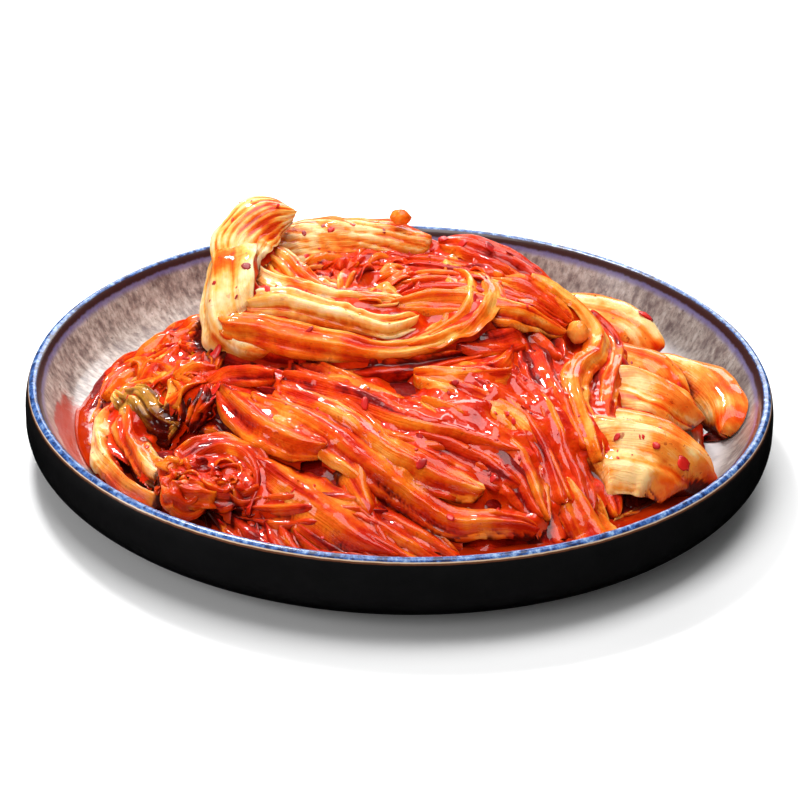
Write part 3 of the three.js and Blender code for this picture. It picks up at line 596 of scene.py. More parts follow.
# %% Strands, stems and the leaves at the left and in front
STEM = dict(upright=True, filled=0.8, crease=0.3, spacing=9, wrinkle=0.25)
LONG = dict(crown=3, spacing=5)
NAMED = {
    **ROLL,
    "draped_strand": ("pale", dict(
        width=[5, 7, 8, 9, 9, 9, 9, 8, 7, 4], crown=2,
        route=[(38, 17, 51), (47, 15, 47.5), (54, 13, 43), (58, 8, 38.5), (57, 0, 37), (54, -12, 37.5),
               (52, -24, 36.5), (53, -34, 33.5), (56, -43, 30), (58, -50, 26)])),
    "hanging_leaf": ("sauced", dict(
        width=[10, 17, 17, 10], crown=2, pleats=3, pleat_depth=0.9, lift=3,
        route=[(29, 3, 43), (36, 0, 42), (43, -5, 39.5), (47, -12, 37)])),
    "pale_curved_leaf": ("orange", dict(
        width=[8, 12, 12, 8], crown=2, route=[(11, -27, 40), (20, -27, 40), (28, -20, 40), (32, -9, 41)])),
    "outer_strand": ("orange", dict(
        width=[4, 5, 6, 6, 5, 5, 4], crown=1.5,
        route=[(57, 21, 38), (62, 18, 35), (65, 11, 32.5), (64, -1, 33), (62, -14, 33), (61, -29, 31),
               (60.5, -41, 28)])),
    "stem_end": ("stem", dict(
        STEM, width=[12, 17, 18, 16, 12], tilt=[0, 10, 25, 40, 60], crown=3.5, thickness=2.5, pleats=1,
        ruffle=0.1, film=[0.6, 0.3, 0.6, 0.8],
        route=[(70, 18, 25), (79, 15, 24.5), (88, 8, 23), (95, -2, 20), (97, -14, 15)])),
    "stem_upper": ("stem", dict(
        STEM, width=[16, 22, 24, 20, 14], crown=4, thickness=3, pleats=2, pleat_depth=0.9, ruffle=0.1,
        film=[1.0, 0.4, 0.1, 0.4, 0.8],
        route=[(52, -8, 30), (62, -9, 31), (71, -10, 30.5), (82, -12, 27), (90, -15, 20)])),
    "stem_front": ("stem", dict(
        STEM, width=[28, 34, 38, 40, 36, 24], crown=12, thickness=5, pleats=3, pleat_depth=1.2, ruffle=0.0,
        film=[1.0, 0.4, 0.1, 0.2, 0.5, 0.9],
        route=[(40, -37, 24), (57, -36, 28.5), (68, -38, 29.5), (77, -40, 27.5), (86, -42, 21.5),
               (90, -43, 15)])),
    "stem_middle": ("stem", dict(
        STEM, width=[13, 18, 20, 18, 12], crown=3, thickness=3, pleats=1, ruffle=0.1,
        film=[1.0, 0.8, 0.7, 0.8, 1.0],
        route=[(50, 15, 30), (59, 14, 30.5), (68, 12, 29.5), (78, 7, 26.5), (87, 0, 20)])),
    "stem_back": ("stem", dict(
        STEM, width=[16, 20, 20, 16, 10], crown=3, thickness=3, pleats=1, ruffle=0.1,
        film=[0.5, 0.2, 0.25, 0.6],
        route=[(42, 40, 30), (52, 40, 32), (61, 37, 32.5), (71, 32, 30), (80, 26, 23)])),
    "left_back_leaf": ("orange", dict(
        width=[15, 18, 17, 15, 12, 8], crown=3, pleats=3, pleat_depth=1.1, lift=3, ruffle=1.3, wrinkle=1.0,
        crease=1.2, spacing=4, route=[(-57, 20), (-64, 18), (-72, 14), (-79, 9), (-85, 2), (-88, -5)])),
    "left_sauced_leaf": ("sauced", dict(
        width=[12, 16, 15, 10], crown=2.5, pleats=1, lift=3.4, crease=0.3,
        route=[(-52, 0), (-58, -4), (-64, -9), (-69, -16)])),
    "left_band": ("orange", dict(
        width=[7, 9, 9, 7], lift=2.6, route=[(-75, 1), (-69, -7), (-62, -17), (-54, -27)])),
    "fold_leaf": ("orange", dict(
        width=[7, 11, 10, 6], lift=4, crown=3, route=[(-55, -25), (-49, -23), (-42, -24), (-36, -27)])),
    "green_leaf": ("olive", dict(
        width=[6, 12, 12, 6], lift=4, crown=1, pleats=3, ruffle=1.4, wrinkle=1.2, spacing=2.4, film=0.45,
        route=[(-83, -10), (-77, -19), (-70, -27), (-64, -34)])),
    "left_inner_stem": ("stem", dict(
        width=[6, 8, 9, 9, 9, 7], crown=2.5, thickness=3, film=0.55,
        route=[(-79, -18, 22), (-79, -30, 20.5), (-75, -42, 20.5), (-69, -52, 20), (-61, -62, 19),
               (-53, -70, 17.5)])),
    "left_outer_stem": ("stem", dict(
        width=[5, 7, 8, 8, 7, 5], crown=2.5, thickness=3, film=0.35,
        route=[(-84, -12, 18), (-87, -22, 17), (-87, -34, 16.5), (-82, -46, 16.5), (-75, -56, 16.5),
               (-67, -65, 16)])),
    "curled_leaf": ("sauced", dict(
        width=[6, 9, 10, 10, 9, 6], upright=True, tilt=[60, 50, 20, 0, -20], ruffle=1.2,
        route=[(-58, -64, 21), (-58, -56, 25), (-51, -52, 28), (-43, -56, 27.5), (-39, -65, 23),
               (-41, -74, 18)])),
    "long_leaf_left": ("orange", dict(
        LONG, width=[7, 12, 15, 14, 9], lift=4.4, film=0.3,
        route=[(-51, -29), (-46, -38), (-40, -47), (-32, -54), (-21, -59)])),
    # The leaves at the front have a thick sauce film, partly real sauce and partly painted shade on the front
    # of the heap.
    "long_leaf_front": ("pale", dict(
        LONG, width=[7, 12, 14, 14, 12, 11, 9, 6], lift=4, film=[0.5, 0.6, 0.8, 1.0],
        route=[(-42, -35), (-31, -45), (-21, -54), (-12, -62), (0, -70), (14, -76), (28, -78), (40, -77)])),
    "long_leaf_middle": ("pale", dict(
        LONG, width=[8, 13, 15, 14, 12, 8], lift=3.4, film=[0.4, 0.5, 0.8],
        route=[(-36, -33), (-26, -41), (-15, -50), (-3, -59), (10, -66), (25, -70)])),
    "long_leaf_upper": ("orange", dict(
        width=[10, 16, 18, 17, 15, 10], lift=3, crown=3, pleats=2, pleat_depth=0.9, film=0.45,
        route=[(-34, -27), (-22, -36), (-8, -43), (8, -49), (22, -52), (33, -55)])),
    "front_stem": ("pale", dict(
        width=[9, 15, 19, 20, 17, 10], crown=4, thickness=2, spacing=6, crease=0.6,
        film=[0.9, 0.7, 0.6, 0.9],
        route=[(-42, -56, 26), (-34, -64, 25), (-26, -71, 23), (-18, -78, 20.5), (-9, -84, 17),
               (0, -88, 14)])),
    "right_rib_outer": ("sauced", dict(
        width=[7, 8, 9, 8, 6], lift=2.8, route=[(34, -24), (41, -34), (47, -45), (52, -55), (55, -65)])),
    "right_rib_inner": ("sauced", dict(
        width=[7, 8, 9, 8, 6], lift=2.8, route=[(21, -31), (30, -38), (38, -47), (44, -56), (48, -66)])),
    "roll_back_leaf": ("orange", dict(
        upright=True, width=[12, 20, 22, 20, 12], tilt=[-62, -66, -68, -66, -60], crown=2, thickness=3,
        route=[(-49, 27, 48), (-32, 37, 46.5), (-8, 40, 46.5), (18, 36, 46.5), (38, 28, 44)])),
}
for number, (name, (kind, shape)) in enumerate(NAMED.items()):
    lay(f"shown_{name}", kind, [strip(seed=3 * number + 5, **shape)], name)
print("named leaves:", len(NAMED), "with", sum(len(p) for p in surface), "points")

# %% [markdown]
# ## Filling leaves
# Between the named leaves lie many shorter ones. Tracing each would take days, and scattering copies would
# show. So each is a strip of its own that starts at a random place and runs the way its neighbours run. A
# few are listed where the photo shows a broad leaf. The left cluster gets small crumpled pieces, and
# the clump in front of it curls.

# %% Directions
ways = []
for kind, shape in NAMED.values():
    if not shape.get("upright"):
        line = np.array([p[:2] for p in shape["route"]], float)
        for a, b in zip(line[:-1], line[1:]):
            ways.append((*(a + b) / 2, *((b - a) / np.linalg.norm(b - a))))
for turn in np.radians(np.arange(20, 165, 12)):
    for share in (0.5, 0.7, 0.9):
        reach = heap_reach(turn) * share
        ways.append((reach * math.cos(turn), reach * math.sin(turn), math.cos(turn), math.sin(turn)))
ways.extend([(6, -36, 0.85, -0.5), (20, -42, 0.85, -0.5), (38, -20, 0.5, -0.86), (45, -38, 0.4, -0.9),
             (-50, -50, 0.6, -0.8), (-62, -45, 0.5, -0.85), (56, -60, 0.3, -0.95)])
ways = np.array(ways)


def way_at(x, y):
    """The direction in which leaves run here: the mean of the known ones, nearest first."""
    nearness = 1 / ((ways[:, 0] - x) ** 2 + (ways[:, 1] - y) ** 2 + 12) ** 1.6
    mean = (ways[:, 2:] * nearness[:, None]).sum(0)
    return mean / np.linalg.norm(mean)


def in_hollow(x, y):
    for at_x, at_y, long, short, turn, _ in HOLLOWS:
        off_x, off_y = turned_offsets(x, y, at_x, at_y, turn)
        if (off_x / (long + 2)) ** 2 + (off_y / (short + 3)) ** 2 < 1:
            return True
    return False


print("known directions:", len(ways))

# %% Broad leaves, listed
EXTRA = [
    ("pale", dict(width=[8, 14, 16, 12], lift=3, film=0.5, crown=3,
                  route=[(4, -29), (14, -30), (24, -27), (32, -22)])),
    ("pale", dict(width=[8, 12, 14, 12, 8], lift=2.6, film=0.75, crown=3,
                  route=[(14, -34), (25, -38), (36, -44), (44, -53), (50, -64)])),
    ("pale", dict(width=[8, 14, 16, 14, 8], lift=2.4, film=0.8, crown=3,
                  route=[(6, -40), (18, -45), (30, -52), (38, -61), (43, -72)])),
    ("orange", dict(width=[9, 15, 16, 13, 8], lift=3.4, film=0.6, crown=3,
                    route=[(33, 2), (40, -8), (44, -20), (48, -33), (54, -46)])),
    ("sauced", dict(width=[8, 14, 14, 9], lift=5, film=0.5, crown=2.5,
                    route=[(12, -14), (22, -12), (31, -6), (38, 2)])),
    ("sauced", dict(width=[8, 15, 15, 9], lift=6, film=0.4, crown=2.5,
                    route=[(22, -6), (30, 0), (38, 6), (46, 10)])),
    ("orange", dict(width=[8, 13, 13, 8], lift=2.6, film=0.4, crown=3, ruffle=1.3, wrinkle=1.0,
                    route=[(-66, 4), (-73, -2), (-79, -8), (-84, -16)])),
    ("sauced", dict(width=[9, 15, 15, 9], lift=1.4, film=0.6, crown=2,
                    route=[(4, -52), (14, -55), (25, -59), (36, -65)])),
    ("orange", dict(width=[9, 15, 15, 9], lift=1.8, film=0.8, crown=2,
                    route=[(16, -50), (27, -56), (36, -63), (41, -72)])),
    ("pale", dict(width=[8, 14, 15, 10], lift=3, film=0.5, crown=3,
                  route=[(48, -58), (54, -66), (58, -74), (60, -80)])),
]
by_kind = {"orange": [], "sauced": [], "pale": []}
for number, (kind, shape) in enumerate(EXTRA):
    by_kind[kind].append(strip(seed=900 + 5 * number, **shape))
print("broad leaves:", len(EXTRA))

# %% Crumpled pieces and curls
CRUMPLED = 34
CURLS = 16
SMALL_STEP = 0.6
for number in range(CRUMPLED):
    kind = ("orange", "sauced", "orange", "pale")[number % 4]
    at = (rng.uniform(-86, -52), rng.uniform(-34, 10))
    heading = rng.uniform(0, math.pi)
    half_long = rng.uniform(4, 8)
    dx, dy = half_long * math.cos(heading), half_long * math.sin(heading)
    if math.hypot(*at) + half_long < 88 and not in_hollow(*at):
        route = [(at[0] - dx, at[1] - dy), (at[0] + 0.3 * dy, at[1] - 0.3 * dx), (at[0] + dx, at[1] + dy)]
        by_kind[kind].append(strip(
            route, [5, rng.uniform(7, 12), 5], tilt=rng.normal(0, 30), crown=2, lift=rng.uniform(1.5, 4.5),
            ruffle=1.3, crease=0.8, spacing=3, wrinkle=1.2, film=rng.uniform(0.2, 0.7), seed=1000 + number,
            step=SMALL_STEP))
for number in range(CURLS):
    kind = ("orange", "sauced", "pale", "orange")[number % 4]
    mid_x, mid_y = rng.uniform(-62, -44), rng.uniform(-73, -57)
    size = rng.uniform(3.5, 6.5)
    begin = rng.uniform(0, 2 * math.pi)
    turns = [begin + 0.75 * k for k in range(6)]
    level = 22.5 + 0.12 * (mid_y + 65)
    route = [(mid_x + size * math.cos(turn), mid_y + 0.8 * size * math.sin(turn),
              level + rng.uniform(-1.2, 1.8)) for turn in turns]
    by_kind[kind].append(strip(
        route, [4, 7, 9, 8, 5], tilt=rng.uniform(30, 75), upright=True, crown=1.5, ruffle=1.0, crease=0.6,
        spacing=3, wrinkle=0.8, film=rng.uniform(0.3, 0.8), seed=1100 + number, step=SMALL_STEP))
print("small pieces tried:", CRUMPLED + CURLS)

# %% Random leaves
TRIES = 150
DROWNED = (22, -38, 30, 22)


def drowned_reach(x, y):
    """Below 1 where sauce nearly covers the leaves."""
    mid_x, mid_y, wide_x, wide_y = DROWNED
    return ((x - mid_x) / wide_x) ** 2 + ((y - mid_y) / wide_y) ** 2


for number in range(TRIES):
    kind = rng.choice(["orange", "sauced", "pale"], p=[0.42, 0.36, 0.22])
    angle = rng.uniform(0, 2 * math.pi)
    reach = heap_reach(angle) * math.sqrt(rng.uniform(0.10, 0.96))
    at = np.array([reach * math.cos(angle), reach * math.sin(angle)])
    drowned_here = drowned_reach(*at) < 1
    under_roll = ((at[0] - ROLL_X) / 40) ** 2 + ((at[1] - ROLL_Y) / 20) ** 2 < 1
    if under_roll or in_hollow(*at) or (drowned_here and number % 3):
        continue
    length = rng.uniform(22, 50)
    turn = rng.normal(0, 0.2)
    stops = [at]
    for _ in range(3):
        dx, dy = way_at(*stops[-1])
        heading = math.atan2(dy, dx) + turn
        step_to = stops[-1] + length / 3 * np.array([math.cos(heading), math.sin(heading)])
        limit = float(heap_reach(math.atan2(step_to[1], step_to[0]))) * 0.985
        if np.linalg.norm(step_to) > limit:
            step_to *= limit / np.linalg.norm(step_to)
        stops.append(step_to)
    wide = rng.uniform(9, 19) if number % 4 else rng.uniform(5, 8)
    if any(in_hollow(*(stop * 0.5 + after * 0.5)) for stop, after in zip(stops[:-1], stops[1:])):
        continue
    by_kind[kind].append(strip(
        [tuple(p) for p in stops], [wide * 0.5, wide, wide, wide * 0.5], lift=rng.uniform(-1.4, 1.2),
        tilt=[rng.normal(0, 14), rng.normal(0, 14)], crown=rng.uniform(1.0, 2.8), pleats=1 + number % 3,
        pleat_depth=0.8, ruffle=0.6, film=0.8 if drowned_here else rng.uniform(0.2, 0.7),
        seed=200 + number, step=0.72))
for kind, pieces in by_kind.items():
    half_way = (len(pieces) + 1) // 2
    lay(f"{kind}_filling_1", kind, pieces[:half_way], "kimchi_heap")
    lay(f"{kind}_filling_2", kind, pieces[half_way:], "kimchi_heap")
print("filling leaves:", {kind: len(pieces) for kind, pieces in by_kind.items()})

# %% [markdown]
# ## Leaf edges inside the roll
# The roll is cut across, so its leaves stand on edge and show as fine nested bands round its middle, with
# crumpled bits between them. A texture on one lump could show them from one side only. Strips give real
# edges from every side.

# %% Roll bands
NESTED = 7
RIGHT_BANDS = 6
MIDDLE_BITS = 44
bands = {"pale": [], "sauced": [], "orange": [], "cream": []}
for number in range(NESTED):
    shrink = 1 - 0.10 * number
    turns = np.radians(np.linspace(138 + 5 * number, 285 + 4 * (number % 3), 9))
    route = [(ROLL_X - 1 + 37 * shrink * math.cos(t), ROLL_Y + (17 * shrink - 0.5) * math.sin(t),
              53.7 - 0.6 * number + 1.6 * math.sin(t)) for t in turns]
    kind = ("cream", "pale", "cream", "orange")[number % 4]
    bands[kind].append(strip(
        route, [5, 8, 9, 8, 5], tilt=58, crown=1.4, thickness=1.5, upright=True, ruffle=0.5, crease=0.5,
        spacing=2.6, film=0.5, seed=500 + 3 * number, step=0.55))
for number in range(RIGHT_BANDS):
    y = 22 - 5.4 * number
    route = [(-2 + 2 * number % 5, y, 51.5), (8, y - 1 + 0.6 * number, 52.4), (22, y - 3 + number, 51),
             (36, y * 0.8 - 2 + number, 47.5), (47, y * 0.6 + 2, 42)]
    kind = ("orange", "sauced", "pale")[number % 3]
    bands[kind].append(strip(
        route, [5, 11, 13, 11, 5], tilt=25, crown=2.2, thickness=1.6, upright=True, ruffle=0.7, spacing=4,
        film=0.5, seed=560 + 3 * number, step=0.6))
for number in range(MIDDLE_BITS):
    angle = rng.uniform(0, 2 * math.pi)
    share = math.sqrt(rng.uniform(0, 1))
    x, y = -4 + 29 * share * math.cos(angle), 12 + 15 * share * math.sin(angle)
    z = 50.0 + rng.uniform(-1, 2.2)
    heading = angle + math.pi / 2 + rng.normal(0, 0.5)
    dx, dy = rng.uniform(5, 8) * math.cos(heading), rng.uniform(4, 7) * math.sin(heading)
    route = [(x - dx, y - dy, z - 1), (x + 0.2 * dy, y - 0.2 * dx, z + 1.2), (x + dx, y + dy, z - 0.6)]
    kind = ("orange", "pale", "sauced")[number % 3]
    bands[kind].append(strip(
        route, [5, rng.uniform(7, 11), 5], tilt=rng.normal(0, 40), crown=2, upright=True, ruffle=1.1,
        crease=0.8, spacing=3, wrinkle=1.0, film=rng.uniform(0.3, 0.8), seed=700 + number, step=0.55))
for kind, pieces in bands.items():
    lay(f"{kind}_roll_bands", kind, pieces, "roll_heart")
print("roll bands:", {kind: len(pieces) for kind, pieces in bands.items()})

# %% [markdown]
# ## Sauce level
# Real sauce runs down and stands in the creases. A fluid simulation would take long and give little more.
# Seen from above, the highest point in each small cell gives a height map of the heap. Closing its narrow
# creases and smoothing it gives the level at which sauce stands, and sauce shows only where that is above
# the leaves. On steep ground it runs off, so the level sinks there. The same map tells each leaf how far down
# its points lie, and that sets the painted shade in the creases.

# %% Height map
CELL = 0.75
MAP_REACH = 100
SIDE = int(2 * MAP_REACH / CELL)
axis = (np.arange(SIDE) - SIDE / 2 + 0.5) * CELL
map_x, map_y = np.meshgrid(axis, axis, indexing="xy")
map_points = np.stack([map_x, map_y, 0 * map_x], -1)


def map_cell(x, y):
    """The row and the column of the height map under a point."""
    return np.clip(((np.stack([y, x]) + MAP_REACH) / CELL).astype(int), 0, SIDE - 1)


def spread(field, cells, pick):
    """The highest or lowest value within some cells of each cell."""
    result = field.copy()
    for dy in range(-cells, cells + 1):
        for dx in range(-cells, cells + 1):
            if 0 < dx * dx + dy * dy <= cells * cells + 0.5:
                result = pick(result, np.roll(field, (dy, dx), (0, 1)))
    return result


def blurred(field, times):
    for _ in range(times):
        for way in (0, 1):
            field = (np.roll(field, 1, way) + 2 * field + np.roll(field, -1, way)) / 4
    return field


core = heap_height(map_x, map_y) - 2.4
ground = core.copy()
for cloud in surface:
    row, column = map_cell(cloud[:, 0], cloud[:, 1])
    np.maximum.at(ground, (row, column), cloud[:, 2])
closed = spread(spread(ground, 3, np.maximum), 3, np.minimum)
print("height map:", SIDE, "cells a side")

# %% Sauce level
pulp = 0.4 * noise(map_points, 3.4, 71) + 0.14 * noise(map_points, 1.5, 72)
pooled = 0.55 * noise(map_points, 14, 73)
drowned = np.exp(-drowned_reach(map_x, map_y) ** 2)
blobs = drowned * (1.1 + 1.2 * noise(map_points, 7, 74) + 0.5 * noise(map_points, 3.4, 75))
sauce_level = blurred(closed, 3) - 1.1 + pooled + pulp + blobs
slope_y, slope_x = np.gradient(blurred(sauce_level, 2), CELL)
steepness = np.hypot(slope_x, slope_y)
sauce_level = sauce_level - 3 * blurred(np.clip((steepness - 0.9) / 0.5, 0, 1), 2)
ragged_reach = heap_reach(np.arctan2(map_y, map_x)) - 3 + 3 * noise(map_points, 9, 77)
inside = np.hypot(map_x, map_y) < ragged_reach
gentle = inside & (steepness < 2.2)
print("sauce shows on", round(float((sauce_level > ground)[inside].mean()), 2), "of the heap")

# %% Painted shade of the leaves
around_level = blurred(closed, 40)
close_level = blurred(closed, 5)
for thing in leaf_things:
    at = np.empty(len(thing.data.vertices) * 3, np.float32)
    thing.data.vertices.foreach_get("co", at)
    at = at.reshape(-1, 3) / MM
    row, column = map_cell(at[:, 0], at[:, 1])
    # Painted shade: darker where a point lies below the smoothed heap and in narrow cracks; the roll's own
    # leaves get less.
    painted_shade = np.clip((around_level[row, column] - at[:, 2] - 0.8) / 4.5, 0, 1)
    crack_shade = np.clip((close_level[row, column] - at[:, 2] - 0.5) / 2.2, 0, 1)
    if thing.name.startswith("shown_roll"):
        painted_shade *= 0.4
        crack_shade *= 0.5
    painted_shade = np.maximum(painted_shade, 0.8 * crack_shade)
    # More painted shade in patches over the left cluster, and a little towards the front.
    left_cluster_shade = np.exp(-(((at[:, 0] + 61) / 17) ** 2 + ((at[:, 1] + 36) / 15) ** 2) ** 2)
    patchy = np.clip(0.4 + 1.5 * noise(at, 6, 78), 0, 1)
    front_shade = np.clip((-at[:, 1] - 40) / 30, 0, 1)
    painted_shade = np.clip(painted_shade + 0.9 * left_cluster_shade * patchy + 0.16 * front_shade, 0, 1)
    attribute = thing.data.attributes.new("painted_shade", "FLOAT", "POINT")
    attribute.data.foreach_set("value", painted_shade.astype(np.float32))
print("leaves with a depth:", len(leaf_things))

# %% [markdown]
# ## Sauce and bed
# The sauce is a thick red paste of chilli and brine: cloudy, a little bumpy and very glossy. The bed is the
# mass of leaves under those that show, and closes the gaps between them. Both are one sheet over the height
# map, which follows the creases without any joins.

# %% Sauce and bed
BED_TOP = 49.5
sauce_look = Look("sauce", Roughness=0.4, Coat_Weight=0.75, Coat_Roughness=0.03, IOR=1.36,
                  Specular_IOR_Level=0.15, Subsurface_Weight=0.25, Subsurface_Radius=(1.0, 0.25, 0.08),
                  Subsurface_Scale=0.0015)
cloudy = sauce_look.spots(sauce_look.here(), 110.0, 4.0, 0.6)
sauce_look.feed("Base Color", sauce_look.ramp(cloudy, [
    (0.30, tone(172, 14, 0)), (0.52, tone(212, 44, 0)), (0.74, tone(230, 78, 6))]))
sauce_look.feed("Normal", sauce_look.bump(sauce_look.spots(sauce_look.here(), 300.0, 2.0), 0.001, 0.8))


def field_mesh(name, field, keep, material):
    """A sheet over the height map, where keep is true."""
    number = -np.ones(field.shape, int)
    number[keep] = np.arange(keep.sum())
    corners = [number[:-1, :-1], number[:-1, 1:], number[1:, 1:], number[1:, :-1]]
    corners = np.stack(corners, -1).reshape(-1, 4)
    corners = corners[(corners >= 0).all(1)]
    points = inside_dish(np.stack([map_x[keep], map_y[keep], field[keep]], -1))
    nothing = 0 * points[:, 0]
    # The bed's leaf material reads a fixed painted shade of 0.2; the sauce does not read it.
    values = {"ridge": nothing + 0.1, "along": points[:, 0], "across": points[:, 1], "leaf": nothing,
              "film": nothing + 0.5, "painted_shade": nothing + 0.2}
    return make_mesh(name, points, corners, values, material)


sauce = field_mesh("sauce", sauce_level, gentle, sauce_look.material)
place(sauce, "brine", "kimchi_heap")
heart = ((map_x - ROLL_X) / 41) ** 2 + ((map_y - ROLL_Y) / 18) ** 2
bed = core + np.clip(1 - heart, 0, 1) ** 0.35 * (BED_TOP - core) + 0.8 * noise(map_points, 5, 76)
place(field_mesh("heap_bed", bed, inside, LEAVES["sauced"]), "red_leaf", "kimchi_heap")
print("sauce faces:", len(sauce.data.polygons))

# %% [markdown]
# ## Brine
# Thin red brine stands level in the moat round the heap, and ends short of the wall at the right and at the
# back left, where the glaze is dry. A plain disc would show a perfect circle, so the pool is a disc with an
# uneven edge that bends down to the glaze like a real wet edge.

# %% Brine
POOL_INNER = 60
POOL_RINGS = ((0.0, 0), (0.5, 0), (0.8, 0), (0.95, 0.0), (0.985, 0.12), (1.0, 0.55))
POOL_STEPS = 360
brine_look = Look("brine", Roughness=0.08, Coat_Weight=0.5, Coat_Roughness=0.03, IOR=1.36)
brine_cloud = brine_look.spots(brine_look.here(), 60.0, 4.0, 0.6)
brine_stops = [(0.3, tone(138, 16, 2)), (0.7, tone(190, 52, 8))]
brine_look.feed("Base Color", brine_look.ramp(brine_cloud, brine_stops))
brine_look.feed("Normal", brine_look.bump(brine_look.spots(brine_look.here(), 160.0, 2.0), 0.0006, 0.3))
turns = np.linspace(0, 2 * math.pi, POOL_STEPS + 1)[:-1]
degrees = np.degrees(np.arctan2(np.sin(turns), np.cos(turns)))
dry = np.clip((degrees + 25) / 17, 0, 1) * (1 - np.clip((degrees - 70) / 30, 0, 1))
dry_left = np.exp(-(((degrees - 140) / 30) ** 2) ** 1.5)
edge_noise = noise(np.stack([np.cos(turns), np.sin(turns), 0 * turns], -1) * 40, 9, 81)
pool_edge = 96.9 - 5.5 * dry - 12 * dry_left + 0.6 * edge_noise * (0.3 + dry + dry_left)
pool_rows = []
for share, drop in POOL_RINGS:
    radius = POOL_INNER + (pool_edge - POOL_INNER) * share
    pool_rows.append(np.stack([radius * np.cos(turns), radius * np.sin(turns), 0 * turns + BRINE - drop], -1))
pool_points = inside_dish(np.array(pool_rows), 0.15).reshape(-1, 3)
pool_faces = grid_faces(len(POOL_RINGS), POOL_STEPS, around=True)[:, ::-1]
pool = make_mesh("brine_pool", pool_points, pool_faces, {"ridge": np.zeros(len(pool_points))},
                 brine_look.material)
place(pool, "brine", "brine")
print("brine faces:", len(pool.data.polygons))

# %% [markdown]
# ## Dish
# The dish is thrown on a wheel, so it is turned round its axis here too. Its outside has a near-black satin
# glaze. The inside has a reactive glaze: grey-beige with streaks that run down the wall, and under the lip a
# violet fringe and a brown band. The floor is painted paler, most at the right, as a painted reflection of
# the lamps. The lip is a crackled blue with a thin brown line, and a thin cream line along its outer edge is
# a painted highlight. Painted textures would need a map, so each band is set by how far a point is past the
# lip, and wobbles a little. A film of red brine clings to the glaze at the left.

# %% Dish shape
SEGMENTS = 288
WIDEST, LIP_HEIGHT = 111.2, 26
profile, _ = smooth_line([(r, 0, z) for r, z in INNER + OUTER], 1.2)
profile[:, 0] = np.clip(profile[:, 0], 0, WIDEST)
profile[:, 2] = np.clip(profile[:, 2], 0, LIP_HEIGHT)
turns = np.linspace(0, 2 * math.pi, SEGMENTS + 1)[:-1]
down = np.concatenate([[0], np.cumsum(np.linalg.norm(np.diff(profile, axis=0), axis=1))])
lip = down[np.argmax(profile[:, 2])]
print("points on the dish's outline:", len(down))

# %% Dish glaze
dish_look = Look("stoneware glaze", Roughness=0.28, Coat_Weight=0.16, Coat_Roughness=0.12, IOR=1.45)
around_x = dish_look.value("around_x")
around_y = dish_look.value("around_y")
past = dish_look.value("past")
streaks = dish_look.spots(dish_look.vector(around_x * 9.0, around_y * 9.0, past * 0.05), 6.0, 5.0, 0.65)
mottle = dish_look.spots(dish_look.here(), 160.0, 4.0, 0.6)
specks = dish_look.spots(dish_look.here(), 800.0, 2.0)
crackle = dish_look.spots(dish_look.here(), 420.0, 3.0, 0.7)
wobble = (streaks - 0.5) * 3 + (mottle - 0.5) * 2


def band(glaze, low, high, wobbling, colour, strength=1.0):
    """Glaze with another colour past a line, that fades in from low to high."""
    return dish_look.mix((past + wobble * wobbling).between(low, high) * strength, glaze, colour)


glaze = dish_look.ramp((streaks * 0.6 + mottle * 0.4).between(0.34, 0.66), [
    (0.0, tone(104, 88, 84)), (0.4, tone(146, 132, 124)), (0.75, tone(174, 162, 152)),
    (1.0, tone(196, 186, 178))])
glaze = dish_look.mix(specks.between(0.62, 0.72) * 0.5, glaze, tone(70, 52, 54))
glaze = dish_look.mix((around_x * 0.3).clamped(), glaze, tone(92, 80, 86))
# Painted reflection: the floor is painted paler, most at the right, where the lamps would shine back.
floor_painted_reflection = (1 - (past + wobble * 2).between(-23, -14)) * (around_x * 0.35 + 0.4).clamped()
glaze = dish_look.mix(floor_painted_reflection, glaze, tone(216, 212, 214))
blue = dish_look.ramp(crackle.between(0.36, 0.66), [
    (0.0, tone(18, 34, 78)), (0.45, tone(52, 92, 160)), (0.8, tone(88, 122, 172)),
    (1.0, tone(140, 166, 202))])
glaze = band(glaze, -6.2, -4.2, 0.8, tone(92, 84, 138), 0.75)
glaze = band(glaze, -4.2, -3.2, 0.5, tone(56, 30, 28))
glaze = band(glaze, -1.5, -0.9, 0.15, blue)
# Painted highlight: a thin cream line along the lip's outer edge.
glaze = band(glaze, 1.3, 1.45, 0.05, tone(206, 178, 148))
glaze = band(glaze, 1.65, 1.8, 0.1, tone(96, 56, 36))
splash = dish_look.spots(dish_look.here(), 130.0, 4.0, 0.65) * 0.9 + dish_look.value("splash")
glaze = dish_look.mix(splash.between(0.85, 1.1) * 0.95, glaze, tone(156, 40, 3))
glaze = band(glaze, 2.1, 2.4, 0.12, dish_look.mix(mottle, tone(9, 9, 10), tone(19, 18, 20)))
dish_look.feed("Base Color", glaze)
dish_look.feed("Normal", dish_look.bump(mottle, 0.0006, 0.25))
dish_look.feed("Roughness", past.between(2.2, 3.0) * 0.17 + 0.28)
print("nodes in the glaze:", len(dish_look.tree.nodes))

# %% Dish
SPLASH_AT, SPLASH_WIDE = 192, 15
radius, height = profile[:, :1], profile[:, 2:]
rings = np.stack([radius * np.cos(turns), radius * np.sin(turns), height + 0 * turns], -1)
near_splash = 1.1 * np.exp(-((np.degrees(turns) - SPLASH_AT) / SPLASH_WIDE) ** 2)
values = {"past": (down - lip)[:, None] + 0 * turns, "around_x": np.cos(turns) + 0 * down[:, None],
          "around_y": np.sin(turns) + 0 * down[:, None],
          "splash": near_splash * np.clip((20 - height) / 5, 0, 1)}
dish_faces = grid_faces(len(down), SEGMENTS, around=True)
dish = make_mesh("shown_dish", rings.reshape(-1, 3), dish_faces, values, dish_look.material)
place(dish, "stoneware", "dish")
print("dish faces:", len(dish.data.polygons))

# %% [markdown]
# ## Garlic and bead
# A crumb of garlic lies on the roll, and a small round bead of stem beside it. Both are balls pushed in and
# out by the noise field, which gives real lumps without sculpting. The flakes use the same lump.

# %% Garlic and bead


